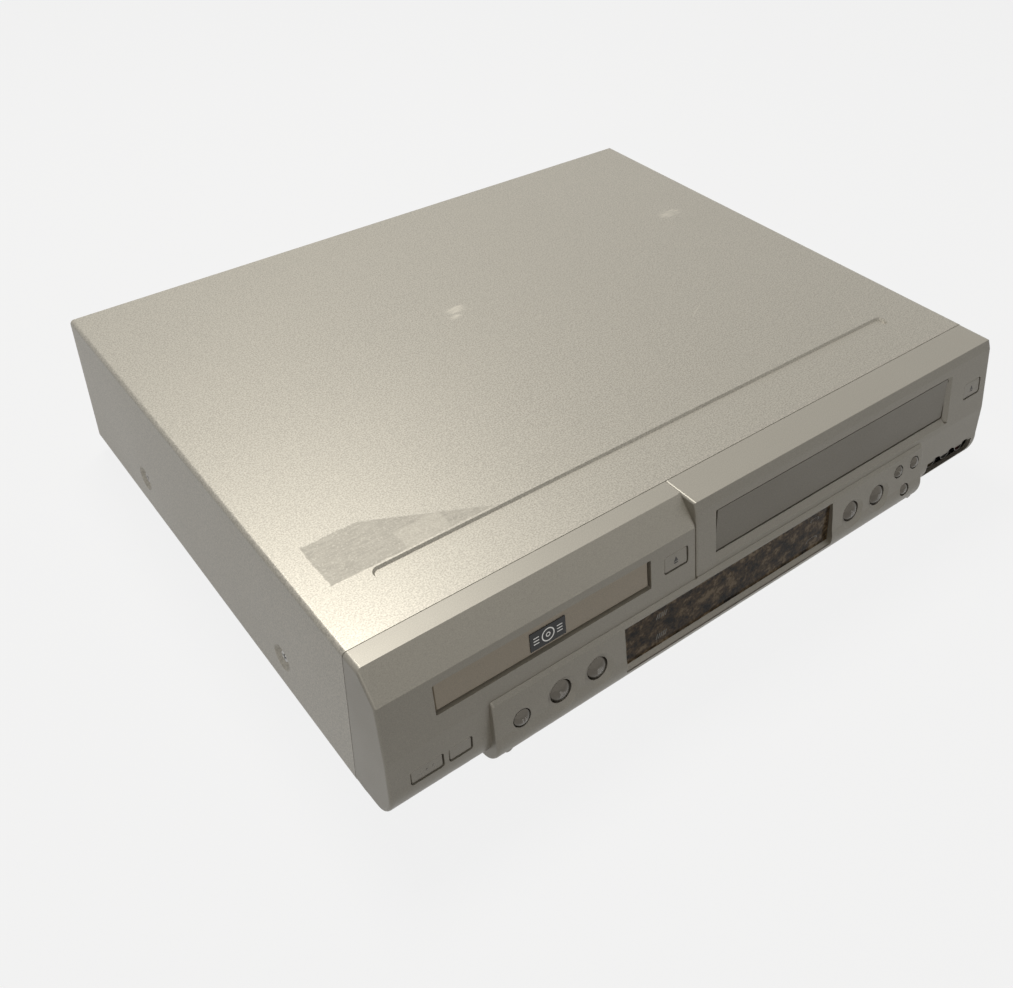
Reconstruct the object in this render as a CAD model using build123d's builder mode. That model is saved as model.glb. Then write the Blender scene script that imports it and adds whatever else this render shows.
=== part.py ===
from build123d import *
import os
from math import atan, degrees

os.makedirs("parts", exist_ok=True)

# ---------------------------------------------------------------- overall sizes, millimetres
width = 430.0             # standard hi-fi width
height = 97.5             # feet included
foot_height = 9.5
face = -172.7             # y of the plane the front's depths are counted from; centres the whole part
seam_depth = 27.9         # front moulding ends and the cover begins here
back_depth = 346.0        # rear edge of the cover
cover_sheet = 0.8
pan_sheet = 1.0
wall = 2.5                # front moulding
fit_gap = 0.1             # between pieces that are fixed together
slide_gap = 0.4           # round buttons and flaps
step_x = -31.0            # joint line between the disc side and the cassette side
panel_left = -160.5       # control panel bulge
panel_right = 152.5

half = width / 2
pan_bottom = foot_height
pan_top = pan_bottom + pan_sheet


def at(depth):
    """y of a point this far behind the front's reference plane."""
    return face + depth


def side_plane(x):
    """Plane across the machine at x: sketch x is the depth axis, sketch y is up."""
    return Plane(origin=(x, 0, 0), x_dir=(0, 1, 0), z_dir=(1, 0, 0))


def front_plane(depth, x=0.0, z=0.0, lean=0.0):
    """Plane facing forward at a depth, leaning back by a few degrees; sketch y is up."""
    base = Plane(origin=(x, at(depth), z), x_dir=(1, 0, 0), z_dir=(0, -1, 0))
    return base.rotated((-lean, 0, 0))


# front profiles as (depth, height) points, read from the top back edge round to the bottom back
face_top = 85.0
face_top_depth = 4.0
crease = 53.0
crease_depth = -1.2
strip_top_depth = 17.2
chamfer_depth = 7.5
chamfer_low = (5.2, 92.3)
low_curve = [(-2.5, 34.0), (-1.9, 23.5), (1.2, 17.5), (4.8, 13.9), (12.0, 12.0), (20.0, 11.1)]
bulge_front = [(-3.3, 52.4), (-5.4, 42.0), (-6.9, 33.0)]
bulge_curve = [(-6.9, 33.0), (-7.5, 22.5), (-4.4, 16.5), (-0.8, 12.9), (6.4, 11.0), (14.4, 10.4)]
upper_lean = degrees(atan((face_top_depth - crease_depth) / (face_top - crease)))   # face and panel
lower_lean = 4.0          # degrees, left face below the crease


def inset_points(points, amount):
    """Points moved inward by an amount, square to the line they lie on."""
    normals = []
    for (d0, z0), (d1, z1) in zip(points, points[1:]):
        length = ((d1 - d0) ** 2 + (z1 - z0) ** 2) ** 0.5
        normals.append(((z0 - z1) / length, (d1 - d0) / length))
    before = [normals[0]] + normals
    after = normals + [normals[-1]]
    moved = []
    for (d, z), a, b in zip(points, before, after):
        scale = amount / (1 + a[0] * b[0] + a[1] * b[1])
        moved.append((d + scale * (a[0] + b[0]), z + scale * (a[1] + b[1])))
    return moved


def profile(plane, start, curve, inset, end_depth):
    """Closed side profile: straight edges down the front, a smooth curve round the underside."""
    chain = [(end_depth, start[0][1])] + start[:-1] + curve + [(end_depth, curve[-1][1])]
    if inset:
        chain = inset_points(chain, inset)
    bend = len(start)
    with BuildSketch(plane) as drawn:
        with BuildLine():
            Polyline(*[(at(d), z) for d, z in chain[:bend + 1]])
            Spline(*[(at(d), z) for d, z in chain[bend:-1]])
            Polyline((at(chain[-2][0]), chain[-2][1]), (at(chain[-1][0]), chain[-1][1]),
                     (at(chain[0][0]), chain[0][1]))
        make_face()
    return drawn.sketch


inner_reach = 6.0         # the moulding's hollow runs past its back edge by this
left_start = [(strip_top_depth, height), (face_top_depth, face_top), (crease_depth, crease), low_curve[0]]
right_start = [(chamfer_depth, height), chamfer_low, (face_top_depth, face_top),
               (crease_depth, crease), low_curve[0]]
bulge_start = [(crease_depth - 0.05, crease + 1.0), bulge_front[0], bulge_front[1], bulge_front[2]]


# ---------------------------------------------------------------- openings in the front
tray_left = -187.4
tray_right = -61.7
tray_low = 64.0
tray_high = 80.7
slot_left = -17.5
slot_right = 174.5
slot_low = 57.0
slot_high = 88.0
window_left = -81.5
window_right = 71.5
window_low = 24.2
window_high = 51.4
window_sink = -4.9        # depth of the window's face at its lower edge
window_rake = 3.0         # how much further back its upper edge is
window_sheet = 1.8
ledge_rise = 1.4
socket_right = half - 6.5
socket_left = socket_right - 44.0
socket_low = 22.4
socket_high = 32.4
socket_pitch = 14.0
socket_middle = socket_right - 21.0
socket_z = 27.4
board_depth = 20.0        # front face of the board behind the front

square_size = (15.4, 9.8)
open_at = (-44.9, 72.1)
eject_at = (198.7, 71.3)
power_size = (17.0, 7.8)
power_at = (20.0 - half, 36.1)
output_size = (12.2, 7.8)
output_at = (37.9 - half, 36.1)
knob_row = 37.3
big_knob = 11.8
small_knob = 9.2
dot_knob = 7.2
ring_gap = 0.5
dish_size = 18.0
dish_drop = 2.6
press = 1.0               # how far a button goes in
pin_depth = 6.8           # the cassette flap's pins
pin_z = 84.2
pin_r = 1.5
switch = 6.0              # press switches behind the buttons
switch_height = 3.2
end_round = 1.5           # rounding along the ends of the front's mouldings
right_round = 3.2         # the same at the far right


def upper_depth(z):
    """Depth of the upper face at a height."""
    return crease_depth + (face_top_depth - crease_depth) * (z - crease) / (face_top - crease)


def bulge_depth(z):
    """Depth of the control panel's face at a height, between its corner points."""
    points = sorted(bulge_front + [(-7.4, 24.0)], key=lambda p: p[1])
    for (d0, z0), (d1, z1) in zip(points, points[1:]):
        if z0 <= z <= z1:
            return d0 + (d1 - d0) * (z - z0) / (z1 - z0)
    return points[0][0]


def lower_depth(z):
    """Depth of the left face below the crease at a height."""
    return low_curve[0][0] + (crease_depth - low_curve[0][0]) * (z - 34.0) / (crease - 34.0)


slot_edge = upper_depth(slot_low)
sill_deep = 3.1           # the ledge below the cassette flap
sill_rise = 2.4
jamb_bevel = 2.4

# name, x, z, shape, size, depth of the face there, lean of the face
controls = [
    ("power_button", power_at[0], power_at[1], "bar", power_size, lower_depth(power_at[1]), lower_lean),
    ("output_button", output_at[0], output_at[1], "bar", output_size, lower_depth(output_at[1]),
     lower_lean),
    ("open_button", open_at[0], open_at[1], "bar", square_size, upper_depth(open_at[1]), upper_lean),
    ("eject_button", eject_at[0], eject_at[1], "bar", square_size, upper_depth(eject_at[1]), upper_lean),
    ("pause_button", -145.5, knob_row, "dome", small_knob, bulge_depth(knob_row), upper_lean),
    ("disc_play_button", -121.5, knob_row, "dish", big_knob, bulge_depth(knob_row), upper_lean),
    ("disc_stop_button", -98.8, knob_row, "dish", big_knob, bulge_depth(knob_row), upper_lean),
    ("tape_play_button", 88.9, knob_row, "dish", big_knob, bulge_depth(knob_row), upper_lean),
    ("tape_stop_button", 112.0, knob_row, "dish", big_knob, bulge_depth(knob_row), upper_lean),
    ("channel_down_button", 129.6, 45.4, "dome", dot_knob, bulge_depth(45.4), upper_lean),
    ("channel_up_button", 144.2, 45.4, "dome", dot_knob, bulge_depth(45.4), upper_lean),
    ("record_button", 136.0, 30.6, "dome", dot_knob, bulge_depth(30.6), upper_lean),
]

bend_r = 2.6              # rounding along the cover's long top edges


def cover_section(inset):
    """Cross section of the cover's outside, or of its inside when inset."""
    with BuildSketch(Plane.XZ) as drawn:
        with Locations((0, (height - inset + pan_bottom) / 2)):
            Rectangle(width - 2 * inset, height - inset - pan_bottom)
        fillet(drawn.vertices().group_by(Axis.Z)[-1], bend_r - inset)
    return drawn.sketch


# ---------------------------------------------------------------- front moulding
groove_wide = 1.2         # joint groove between the two sides
groove_sink = 1.4
collar = 2.2              # walls round the openings, running back from the face
side_run = step_x + half
tape_run = half - step_x
panel_run = panel_right - panel_left


def end_edges(solid, x):
    """Edges round the end of a moulding at x, except the one that meets the cover."""
    ends = [edge for edge in solid.edges() if abs(edge.center().X - x) < 0.01]
    return [edge for edge in ends if abs(edge.center().Y - at(seam_depth)) > 0.01]


raw_left = extrude(profile(side_plane(-half), left_start, low_curve, 0, seam_depth), side_run)
raw_right = extrude(profile(side_plane(step_x), right_start, low_curve, 0, seam_depth), tape_run)
raw_panel = extrude(profile(side_plane(panel_left), bulge_start, bulge_curve, 0, seam_depth), panel_run)
outer_left = fillet(end_edges(raw_left, -half), end_round)
outer_right = fillet(end_edges(fillet(end_edges(raw_right, half), right_round), step_x), end_round)
outer_panel = fillet(end_edges(raw_panel, panel_left) + end_edges(raw_panel, panel_right), end_round)
hollow_end = seam_depth + inner_reach
hollow_left = extrude(profile(side_plane(-half + wall), left_start, low_curve, wall, hollow_end),
                      side_run + 0.2)
hollow_right = extrude(profile(side_plane(step_x + wall), right_start, low_curve, wall, hollow_end),
                       tape_run - 2 * wall)
hollow_panel = extrude(profile(side_plane(panel_left + wall), bulge_start, bulge_curve, wall, hollow_end),
                       panel_run - 2 * wall)
lip_gap = cover_sheet + fit_gap
lip_sheet = 1.6
lip_low = pan_bottom + 13.0
with BuildPart() as lip_part:
    add(extrude(cover_section(lip_gap) - cover_section(lip_gap + lip_sheet), 7.0, dir=(0, 1, 0)))
    with BuildSketch(Plane.XZ.offset(20.0)):
        with Locations((0, lip_low / 2)):
            Rectangle(width, lip_low)
    extrude(amount=-60.0, mode=Mode.SUBTRACT)
lip_ring = lip_part.part.moved(Location((0, at(seam_depth - 1.5), 0)))
board_bosses = [(panel_left + 8.0, 46.0, -3.4), (panel_left + 8.0, 20.5, -6.0),
                (window_right + 9.0, 46.5, -3.2), (socket_left - 18.0, 20.5, -6.0)]
silhouette = extrude(cover_section(0), 100.0, both=True).moved(Location((0, face, 0)))
front_openings = [(tray_left, tray_right, tray_low, tray_high), (slot_left, slot_right, slot_low, slot_high)]
# collars round the tray opening and the cassette opening, flush with the face
with BuildPart() as collars:
    add(outer_left)
    add(outer_right)
    with BuildSketch(Plane.XZ.offset(-at(-12.0))):
        for left, right, low, high in front_openings:
            with Locations(((left + right) / 2, (low + high) / 2)):
                Rectangle(right - left + 2 * collar, high - low + 2 * collar)
    extrude(amount=-24.0, mode=Mode.INTERSECT)
with BuildPart() as front_bezel:
    add(outer_left)
    add(outer_right)
    add(outer_panel)
    add(silhouette, mode=Mode.INTERSECT)
    for piece in (hollow_left, hollow_right, hollow_panel):
        add(piece, mode=Mode.SUBTRACT)
    add(collars.part)
    # pads behind the dished and round buttons
    for name, x, z, shape, size, depth, lean in controls:
        if shape == "dish":
            with BuildSketch(front_plane(depth, x, z, lean).offset(-2.0)):
                Circle(dish_size / 2 + 1.2)
            extrude(amount=-3.0)
    # openings
    with BuildSketch(Plane.XZ.offset(-at(-12.0))):
        for left, right, low, high in front_openings:
            with Locations(((left + right) / 2, (low + high) / 2)):
                RectangleRounded(right - left, high - low, 0.8)
        with Locations(((socket_left + socket_right) / 2, (socket_low + socket_high) / 2)):
            Rectangle(socket_right - socket_left, socket_high - socket_low)
        for step in (-1, 0, 1):
            with Locations((socket_middle + step * socket_pitch, socket_z + 1.2)):
                Circle(5.2)
    extrude(amount=-40.0, mode=Mode.SUBTRACT)
    # sloped ledge along the foot of the cassette opening, and the bevel up its right side
    with BuildSketch(side_plane(slot_left)):
        with BuildLine():
            Polyline((at(slot_edge), slot_low), (at(slot_edge + sill_deep), slot_low + sill_rise),
                     (at(slot_edge + sill_deep + collar), slot_low + sill_rise),
                     (at(slot_edge + sill_deep + collar), slot_low - 1.0),
                     (at(slot_edge + 0.5), slot_low - 1.0), close=True)
        make_face()
    extrude(amount=slot_right - slot_left)
    with BuildSketch(Plane.XY.offset(slot_low)):
        with BuildLine():
            Polyline((slot_right - 0.4, at(slot_edge - 2.0)), (slot_right + jamb_bevel, at(slot_edge - 2.0)),
                     (slot_right + jamb_bevel, at(slot_edge)), (slot_right, at(slot_edge + jamb_bevel)),
                     (slot_right - 0.4, at(slot_edge + jamb_bevel)), close=True)
        make_face()
    extrude(amount=slot_high - slot_low, dir=(0, face_top_depth - crease_depth, face_top - crease),
            mode=Mode.SUBTRACT)
    # the window's frame, and its opening with a sloped lower ledge
    window_x = (window_left + window_right) / 2
    window_z = (window_low + window_high) / 2
    with BuildSketch(front_plane(bulge_depth(window_z) + 1.6, window_x, window_z, upper_lean)):
        Rectangle(window_right - window_left + 4.0, window_high - window_low + 1.0)
    extrude(amount=-5.0)
    with BuildSketch(side_plane(window_left)):
        with BuildLine():
            Polyline((at(-12.0), window_low), (at(-7.2), window_low),
                     (at(window_sink), window_low + ledge_rise),
                     (at(window_sink + window_sheet), window_low + ledge_rise),
                     (at(window_sink + window_rake + window_sheet), window_high),
                     (at(-12.0), window_high), close=True)
        make_face()
    extrude(amount=window_right - window_left, mode=Mode.SUBTRACT)
    with BuildSketch(Plane.XZ.offset(-at(-12.0))):
        with Locations((window_x, window_z + 1.6)):
            Rectangle(window_right - window_left - 6.0, window_high - window_low - 8.0)
    extrude(amount=-30.0, mode=Mode.SUBTRACT)
    # groove on the joint line between the two sides, along the foot of the step
    with BuildSketch(side_plane(step_x - groove_wide)):
        with BuildLine():
            Polyline((at(-12.0), crease + 0.8), (at(crease_depth + groove_sink), crease + 0.8),
                     (at(face_top_depth + groove_sink), face_top),
                     (at(strip_top_depth + groove_sink), height + 1.0),
                     (at(-12.0), height + 1.0), close=True)
        make_face()
    extrude(amount=groove_wide, mode=Mode.SUBTRACT)
    # button holes
    for name, x, z, shape, size, depth, lean in controls:
        with BuildSketch(front_plane(depth, x, z, lean).offset(4.0)):
            if shape == "bar":
                RectangleRounded(size[0] + 2 * slide_gap, size[1] + 2 * slide_gap, 1.6)
            else:
                Circle(size / 2 + ring_gap)
        extrude(amount=-14.0, mode=Mode.SUBTRACT)
        if shape == "dish":
            radius = (dish_size ** 2 / 4 + dish_drop ** 2) / (2 * dish_drop)
            plane = front_plane(depth, x, z, lean)
            with Locations(plane.offset(radius - dish_drop).location):
                Sphere(radius, mode=Mode.SUBTRACT)
    # lip that goes under the cover, and bosses the front board is screwed to
    add(lip_ring)
    for x, z, start in board_bosses:
        with BuildSketch(Plane.XZ.offset(-at(start))):
            with Locations((x, z)):
                Circle(2.6)
        extrude(amount=-(board_depth - fit_gap - start))
    # holes for the flap's pins, high at the ends of the cassette opening
    with BuildSketch(side_plane(slot_left - 1.6)):
        with Locations((at(pin_depth), pin_z)):
            Circle(pin_r + fit_gap)
    extrude(amount=slot_right - slot_left + 3.2, mode=Mode.SUBTRACT)
front_bezel.part.label = "front_bezel"

# ---------------------------------------------------------------- buttons
bar_cap = 5.0             # depth of a square cap
stem_gap = 0.2            # between a stem at full press and its switch
stem_reach = board_depth - switch_height - press - stem_gap
for name, x, z, shape, size, depth, lean in controls:
    with BuildPart() as button:
        if shape == "bar":
            with BuildSketch(front_plane(depth, x, z, lean).offset(-0.3)):
                RectangleRounded(size[0], size[1], 1.2)
            extrude(amount=-bar_cap)
            chamfer(button.faces().sort_by(Axis.Y)[0].edges(), 0.5)
            with BuildSketch(front_plane(depth, x, z, lean).offset(0.6 - bar_cap)):
                RectangleRounded(size[0] + 2.4, size[1] + 2.4, 1.2)
            extrude(amount=-1.0)
        else:
            sunk = dish_drop - 0.8 if shape == "dish" else 0.2
            body = 3.0 if shape == "dish" else 2.4
            rise = 2.4 if shape == "dish" else size * 0.22
            plane = front_plane(depth, x, z, lean).offset(-sunk)
            radius = (size ** 2 / 4 + rise ** 2) / (2 * rise)
            with Locations(plane.offset(rise - radius).location):
                Sphere(radius)
            with BuildSketch(plane.offset(-body)):
                Rectangle(60, 60)
            extrude(amount=-60, mode=Mode.SUBTRACT)
            with BuildSketch(plane.offset(-body)):
                Circle(size / 2)
            extrude(amount=body + rise, mode=Mode.INTERSECT)
            with BuildSketch(plane.offset(-body - 2.0)):
                Circle(size / 2)
            extrude(amount=2.0)
            flange = 5.2 if shape == "dish" else wall + 0.6
            with BuildSketch(plane.offset(sunk - flange)):
                Circle(size / 2 + ring_gap + 1.0)
            extrude(amount=-1.0)
            with BuildSketch(plane):
                Circle(size / 2 - 1.0)
            extrude(amount=-(flange - sunk + 0.5))
        with BuildSketch(front_plane(depth, x, z, lean).offset(-3.0)):
            Circle(2.0)
        extrude(amount=-30.0)
        with BuildSketch(Plane.XZ.offset(-at(stem_reach))):
            with Locations((x, z)):
                Rectangle(80, 80)
        extrude(amount=-60.0, mode=Mode.SUBTRACT)
    button.part.label = name
    export_step(button.part, f"parts/{name}.step")

# ---------------------------------------------------------------- display
with BuildPart() as display_window:
    low_edge = window_low + ledge_rise + 0.1
    high_edge = window_high - 0.1
    with BuildSketch(side_plane(window_left + 0.2)):
        with BuildLine():
            Polyline((at(window_sink), low_edge), (at(window_sink + window_rake), high_edge),
                     (at(window_sink + window_rake + window_sheet - 0.05), high_edge),
                     (at(window_sink + window_sheet - 0.05), low_edge), close=True)
        make_face()
    extrude(amount=window_right - window_left - 0.4)
display_window.part.label = "display_window"

with BuildPart() as display_module:
    with BuildSketch(Plane.XZ.offset(-at(6.0))):
        with Locations(((window_left + window_right) / 2, 38.0)):
            RectangleRounded(118.0, 20.0, 1.0)
    extrude(amount=-8.0)
    with BuildSketch(Plane.XZ.offset(-at(14.0))):
        with Locations(((window_left + window_right) / 2, 38.0)):
            Rectangle(124.0, 25.0)
    extrude(amount=-6.0)
display_module.part.label = "display_module"

# ---------------------------------------------------------------- board behind the front
board_sheet = 1.6
with BuildPart() as front_board:
    with BuildSketch(Plane.XZ.offset(-at(board_depth))):
        with Locations((-2.0, 33.0)):
            Rectangle(width - 18.0, 34.0)
        with Locations((open_at[0] + 5.0, 62.0)):
            Rectangle(20.0, 36.0)
        with Locations((eject_at[0] - 2.0, 62.0)):
            Rectangle(20.0, 36.0)
    extrude(amount=-board_sheet)
    for name, x, z, shape, size, depth, lean in controls:
        drop = (stem_reach - depth) * 0.16 if lean > 5 else (stem_reach - depth) * 0.07
        with BuildSketch(Plane.XZ.offset(-at(board_depth - switch_height))):
            with Locations((x, z - drop)):
                Rectangle(switch, switch)
        extrude(amount=-switch_height)
front_board.part.label = "front_board"

# ---------------------------------------------------------------- bottom pan
pan_front = seam_depth + fit_gap
pan_back = back_depth - 0.8
dimple_drop = 3.0
pan_side = half - dimple_drop - cover_sheet - fit_gap
pan_wall_top = 44.0
screw_z = 32.0
screw_depths = (95.0, 262.0)
foot_x = half - 43.0
foot_depths = (52.0, 305.0)
with BuildPart() as chassis_pan:
    with BuildSketch(Plane.XY.offset(pan_bottom)):
        with Locations((0, (at(pan_front) + at(pan_back)) / 2)):
            Rectangle(2 * pan_side, pan_back - pan_front)
    extrude(amount=pan_sheet)
    with BuildSketch(Plane.XY.offset(pan_bottom)):
        for side in (-1, 1):
            with Locations((side * (pan_side - pan_sheet / 2), (at(pan_front) + at(pan_back)) / 2)):
                Rectangle(pan_sheet, pan_back - pan_front)
    extrude(amount=pan_wall_top - pan_bottom)
    with BuildSketch(Plane.XY.offset(pan_bottom)):
        with Locations((0, at(pan_front) + pan_sheet / 2)):
            Rectangle(2 * pan_side, pan_sheet)
    extrude(amount=16.0)
    # stiffening ribs pressed into the floor
    with BuildSketch(Plane.XY.offset(pan_top)):
        with Locations((-20.0, at(140.0)), (-20.0, at(225.0))):
            SlotOverall(60.0, 6.0)
    extrude(amount=1.2)
    # rows of air slots
    with BuildSketch(Plane.XY):
        with Locations((-125.0, at(280.0))):
            with GridLocations(0, 9.0, 1, 7):
                Rectangle(70.0, 3.0)
        with Locations((80.0, at(90.0))):
            with GridLocations(0, 9.0, 1, 6):
                Rectangle(60.0, 3.0)
    extrude(amount=20.0, mode=Mode.SUBTRACT)
    # screw holes in the side walls
    for depth in screw_depths:
        with Locations(Location((0, at(depth), screw_z), (0, 90, 0))):
            Cylinder(1.35, width, mode=Mode.SUBTRACT)
chassis_pan.part.label = "chassis_pan"

# ---------------------------------------------------------------- feet
foot_top_r = 21.0
foot_low_r = 18.0
pad_height = 1.5
foot_spots = [(sx * foot_x, at(depth)) for sx in (-1, 1) for depth in foot_depths]
with BuildPart() as feet:
    for x, y in foot_spots:
        with BuildSketch(Plane.XY.offset(pad_height)):
            with Locations((x, y)):
                Circle(foot_low_r)
        with BuildSketch(Plane.XY.offset(foot_height)):
            with Locations((x, y)):
                Circle(foot_top_r)
        loft()
feet.part.label = "feet"

with BuildPart() as foot_pads:
    with BuildSketch():
        with Locations(*foot_spots):
            Circle(foot_low_r - 3.0)
            Circle(foot_low_r - 9.0, mode=Mode.SUBTRACT)
    extrude(amount=pad_height)
foot_pads.part.label = "foot_pads"

# ---------------------------------------------------------------- top cover
groove_left = 34.0 - half
groove_right = half - 33.0
groove_middle = 58.8
groove_width = 8.8
groove_drop = 1.5
dimple_r = 7.6
dimple_floor_r = 4.6
cover_front = seam_depth + 0.35
lip_down = 9.0            # rear lip over the rear panel


def dimple(side, depth, grow):
    """Solid of one pressed dimple, grown for the back of the sheet."""
    outer = Plane(origin=(side * half, at(depth), screw_z), x_dir=(0, 1, 0), z_dir=(-side, 0, 0))
    with BuildPart() as pressed:
        with BuildSketch(outer):
            Circle(dimple_r + grow)
        with BuildSketch(outer.offset(dimple_drop + grow)):
            Circle(dimple_floor_r + grow)
        loft()
    return pressed.part


cover_run = back_depth - cover_front
cover_outside = extrude(cover_section(0), cover_run, dir=(0, 1, 0)).moved(Location((0, at(cover_front), 0)))
cover_inside = extrude(cover_section(cover_sheet), cover_run - cover_sheet + 5.0,
                       dir=(0, 1, 0)).moved(Location((0, at(cover_front - 5.0), 0)))
dimple_shapes = [(dimple(side, depth, cover_sheet), dimple(side, depth, 0.0))
                 for side in (-1, 1) for depth in screw_depths]
with BuildPart() as top_cover:
    add(cover_outside)
    add(cover_inside, mode=Mode.SUBTRACT)
    with BuildSketch(Plane.XY.offset(pan_bottom - 1.0)):
        with Locations((0, at((cover_front + back_depth - cover_sheet) / 2 - 5.0))):
            Rectangle(width - 2 * cover_sheet, back_depth - cover_sheet - cover_front + 10.0)
    extrude(amount=10.0, mode=Mode.SUBTRACT)
    # the rear is open below the lip
    with BuildSketch(Plane.XZ.offset(-at(back_depth - 5.0))):
        with Locations((0, (height - lip_down) / 2)):
            Rectangle(width - 2 * cover_sheet - 12.0, height - lip_down)
    extrude(amount=-10.0, mode=Mode.SUBTRACT)
    # the long groove pressed into the top
    with BuildSketch(Plane.XY.offset(height - cover_sheet)):
        with Locations(((groove_left + groove_right) / 2, at(groove_middle))):
            SlotOverall(groove_right - groove_left, groove_width)
    extrude(amount=-groove_drop, taper=30)
    with BuildSketch(Plane.XY.offset(height)):
        with Locations(((groove_left + groove_right) / 2, at(groove_middle))):
            SlotOverall(groove_right - groove_left - 0.8, groove_width - 0.8)
    extrude(amount=-groove_drop, taper=35, mode=Mode.SUBTRACT)
    for grown, pressed in dimple_shapes:
        add(grown)
        add(pressed, mode=Mode.SUBTRACT)
    for depth in screw_depths:
        with Locations(Location((0, at(depth), screw_z), (0, 90, 0))):
            Cylinder(1.8, width + 2.0, mode=Mode.SUBTRACT)
top_cover.part.label = "top_cover"

with BuildPart() as cover_screws:
    for side in (-1, 1):
        for depth in screw_depths:
            seat = half - dimple_drop
            base = Plane(origin=(side * seat, at(depth), screw_z), x_dir=(0, 1, 0), z_dir=(side, 0, 0))
            with BuildSketch(base):
                Circle(3.6)
            extrude(amount=1.6, taper=18)
            with BuildSketch(base.offset(1.6)):
                Rectangle(4.2, 0.8)
                Rectangle(0.8, 4.2)
            extrude(amount=-0.9, mode=Mode.SUBTRACT)
            with BuildSketch(base):
                Circle(1.3)
            extrude(amount=-6.0)
cover_screws.part.label = "cover_screws"

# ---------------------------------------------------------------- sockets
shell_r = 4.15            # outside of a phono socket
shell_bore_r = 3.6
root_r = 3.9              # a shell's root, inside its flange and block
root_reach = 5.0
ring_sheet = 1.0          # the coloured flange round a shell
root_gap = 0.05           # round a shell in the pieces it is pressed into
ring_r = 5.3
pin_bore_r = 1.6
front_floor = 6.2         # depth the front sockets stand on
block_front = 2.6         # depth of the front block's open face
block_wall = 1.2
block_z = socket_z + 0.9
pocket_tall = 12.4
front_spots = [(socket_middle + step * socket_pitch, socket_z + 0.6) for step in (-1, 0, 1)]
rear_rows = (38.0, 58.0)
rear_columns = (30.0, 48.0, 66.0)
rear_face = 345.1         # depth of the rear panel's outside
rear_reach = 8.7          # how far a rear socket stands out
round_socket = (-6.0, 58.0)
block_depth = 326.0
panel_sheet = 1.0


def phono_shell(x, z, floor, reach, forward):
    """Metal shell of one socket, standing out of a floor at a depth."""
    way = -1 if forward else 1
    with BuildPart() as shell:
        with BuildSketch(Plane.XZ.offset(-at(floor + way * reach))):
            with Locations((x, z)):
                Circle(shell_r)
                Circle(shell_bore_r, mode=Mode.SUBTRACT)
        extrude(amount=way * (reach - ring_sheet))
        with BuildSketch(Plane.XZ.offset(-at(floor + way * ring_sheet))):
            with Locations((x, z)):
                Circle(root_r)
                Circle(shell_bore_r, mode=Mode.SUBTRACT)
        extrude(amount=way * (ring_sheet + root_reach))
    return shell.part


def phono_core(x, z, floor, reach, forward):
    """Coloured flange round a shell and the bored core inside it."""
    way = -1 if forward else 1
    with BuildPart() as core:
        with BuildSketch(Plane.XZ.offset(-at(floor + way * ring_sheet))):
            with Locations((x, z)):
                Circle(ring_r)
                Circle(root_r + root_gap, mode=Mode.SUBTRACT)
        extrude(amount=way * ring_sheet)
        with BuildSketch(Plane.XZ.offset(-at(floor + way * (reach - 1.5)))):
            with Locations((x, z)):
                Circle(shell_bore_r - root_gap)
                Circle(pin_bore_r, mode=Mode.SUBTRACT)
        extrude(amount=way * (reach - 1.5))
    return core.part


with BuildPart() as socket_block:
    with BuildSketch(Plane.XZ.offset(-at(block_front))):
        with Locations(((socket_left + socket_right) / 2, block_z)):
            Rectangle(socket_right - socket_left + 2 * block_wall, pocket_tall + 2 * block_wall)
    extrude(amount=-(board_depth - fit_gap - block_front))
    with BuildSketch(Plane.XZ.offset(-at(block_front))):
        with Locations(((socket_left + socket_right) / 2, block_z)):
            Rectangle(socket_right - socket_left, pocket_tall)
    extrude(amount=-(front_floor + fit_gap - block_front), mode=Mode.SUBTRACT)
    with BuildSketch(Plane.XZ.offset(-at(block_front))):
        with Locations(*front_spots):
            Circle(root_r + root_gap)
    extrude(amount=-(front_floor + root_reach - block_front), mode=Mode.SUBTRACT)
socket_block.part.label = "socket_block"

with BuildPart() as front_shells:
    for x, z in front_spots:
        add(phono_shell(x, z, front_floor, 6.0, True))
front_shells.part.label = "front_shells"
front_cores = []
for (x, z), colour in zip(front_spots, ("yellow", "white", "red")):
    with BuildPart() as core:
        add(phono_core(x, z, front_floor, 6.0, True))
    core.part.label = f"front_socket_{colour}"
    front_cores.append(core)

with BuildPart() as rear_block:
    with BuildSketch(Plane.XZ.offset(-at(block_depth))):
        with Locations((31.0, 48.0)):
            Rectangle(102.0, 44.0)
    extrude(amount=-(rear_face - panel_sheet - fit_gap - block_depth))
    # bosses that come through the rear panel
    with BuildSketch(Plane.XZ.offset(-at(block_depth))):
        for x in rear_columns:
            for z in rear_rows:
                with Locations((x, z)):
                    Circle(ring_r + 0.8)
        with Locations(round_socket):
            Circle(7.0)
    extrude(amount=-(rear_face - fit_gap - block_depth))
    with BuildSketch(Plane.XZ.offset(-at(rear_face))):
        for x in rear_columns:
            for z in rear_rows:
                with Locations((x, z)):
                    Circle(root_r + root_gap)
    extrude(amount=root_reach, mode=Mode.SUBTRACT)
    with BuildSketch(Plane.XZ.offset(-at(rear_face))):
        with Locations(round_socket):
            Circle(4.75)
            with PolarLocations(2.4, 4, 45):
                Circle(0.5, mode=Mode.SUBTRACT)
    extrude(amount=6.0, mode=Mode.SUBTRACT)
rear_block.part.label = "rear_block"

with BuildPart() as rear_shells:
    for x in rear_columns:
        for z in rear_rows:
            add(phono_shell(x, z, rear_face, rear_reach, False))
rear_shells.part.label = "rear_shells"
rear_cores = []
for x, colour in zip(rear_columns, ("yellow", "white", "red")):
    with BuildPart() as core:
        for z in rear_rows:
            add(phono_core(x, z, rear_face, rear_reach, False))
    core.part.label = f"rear_socket_{colour}"
    rear_cores.append(core)

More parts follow.
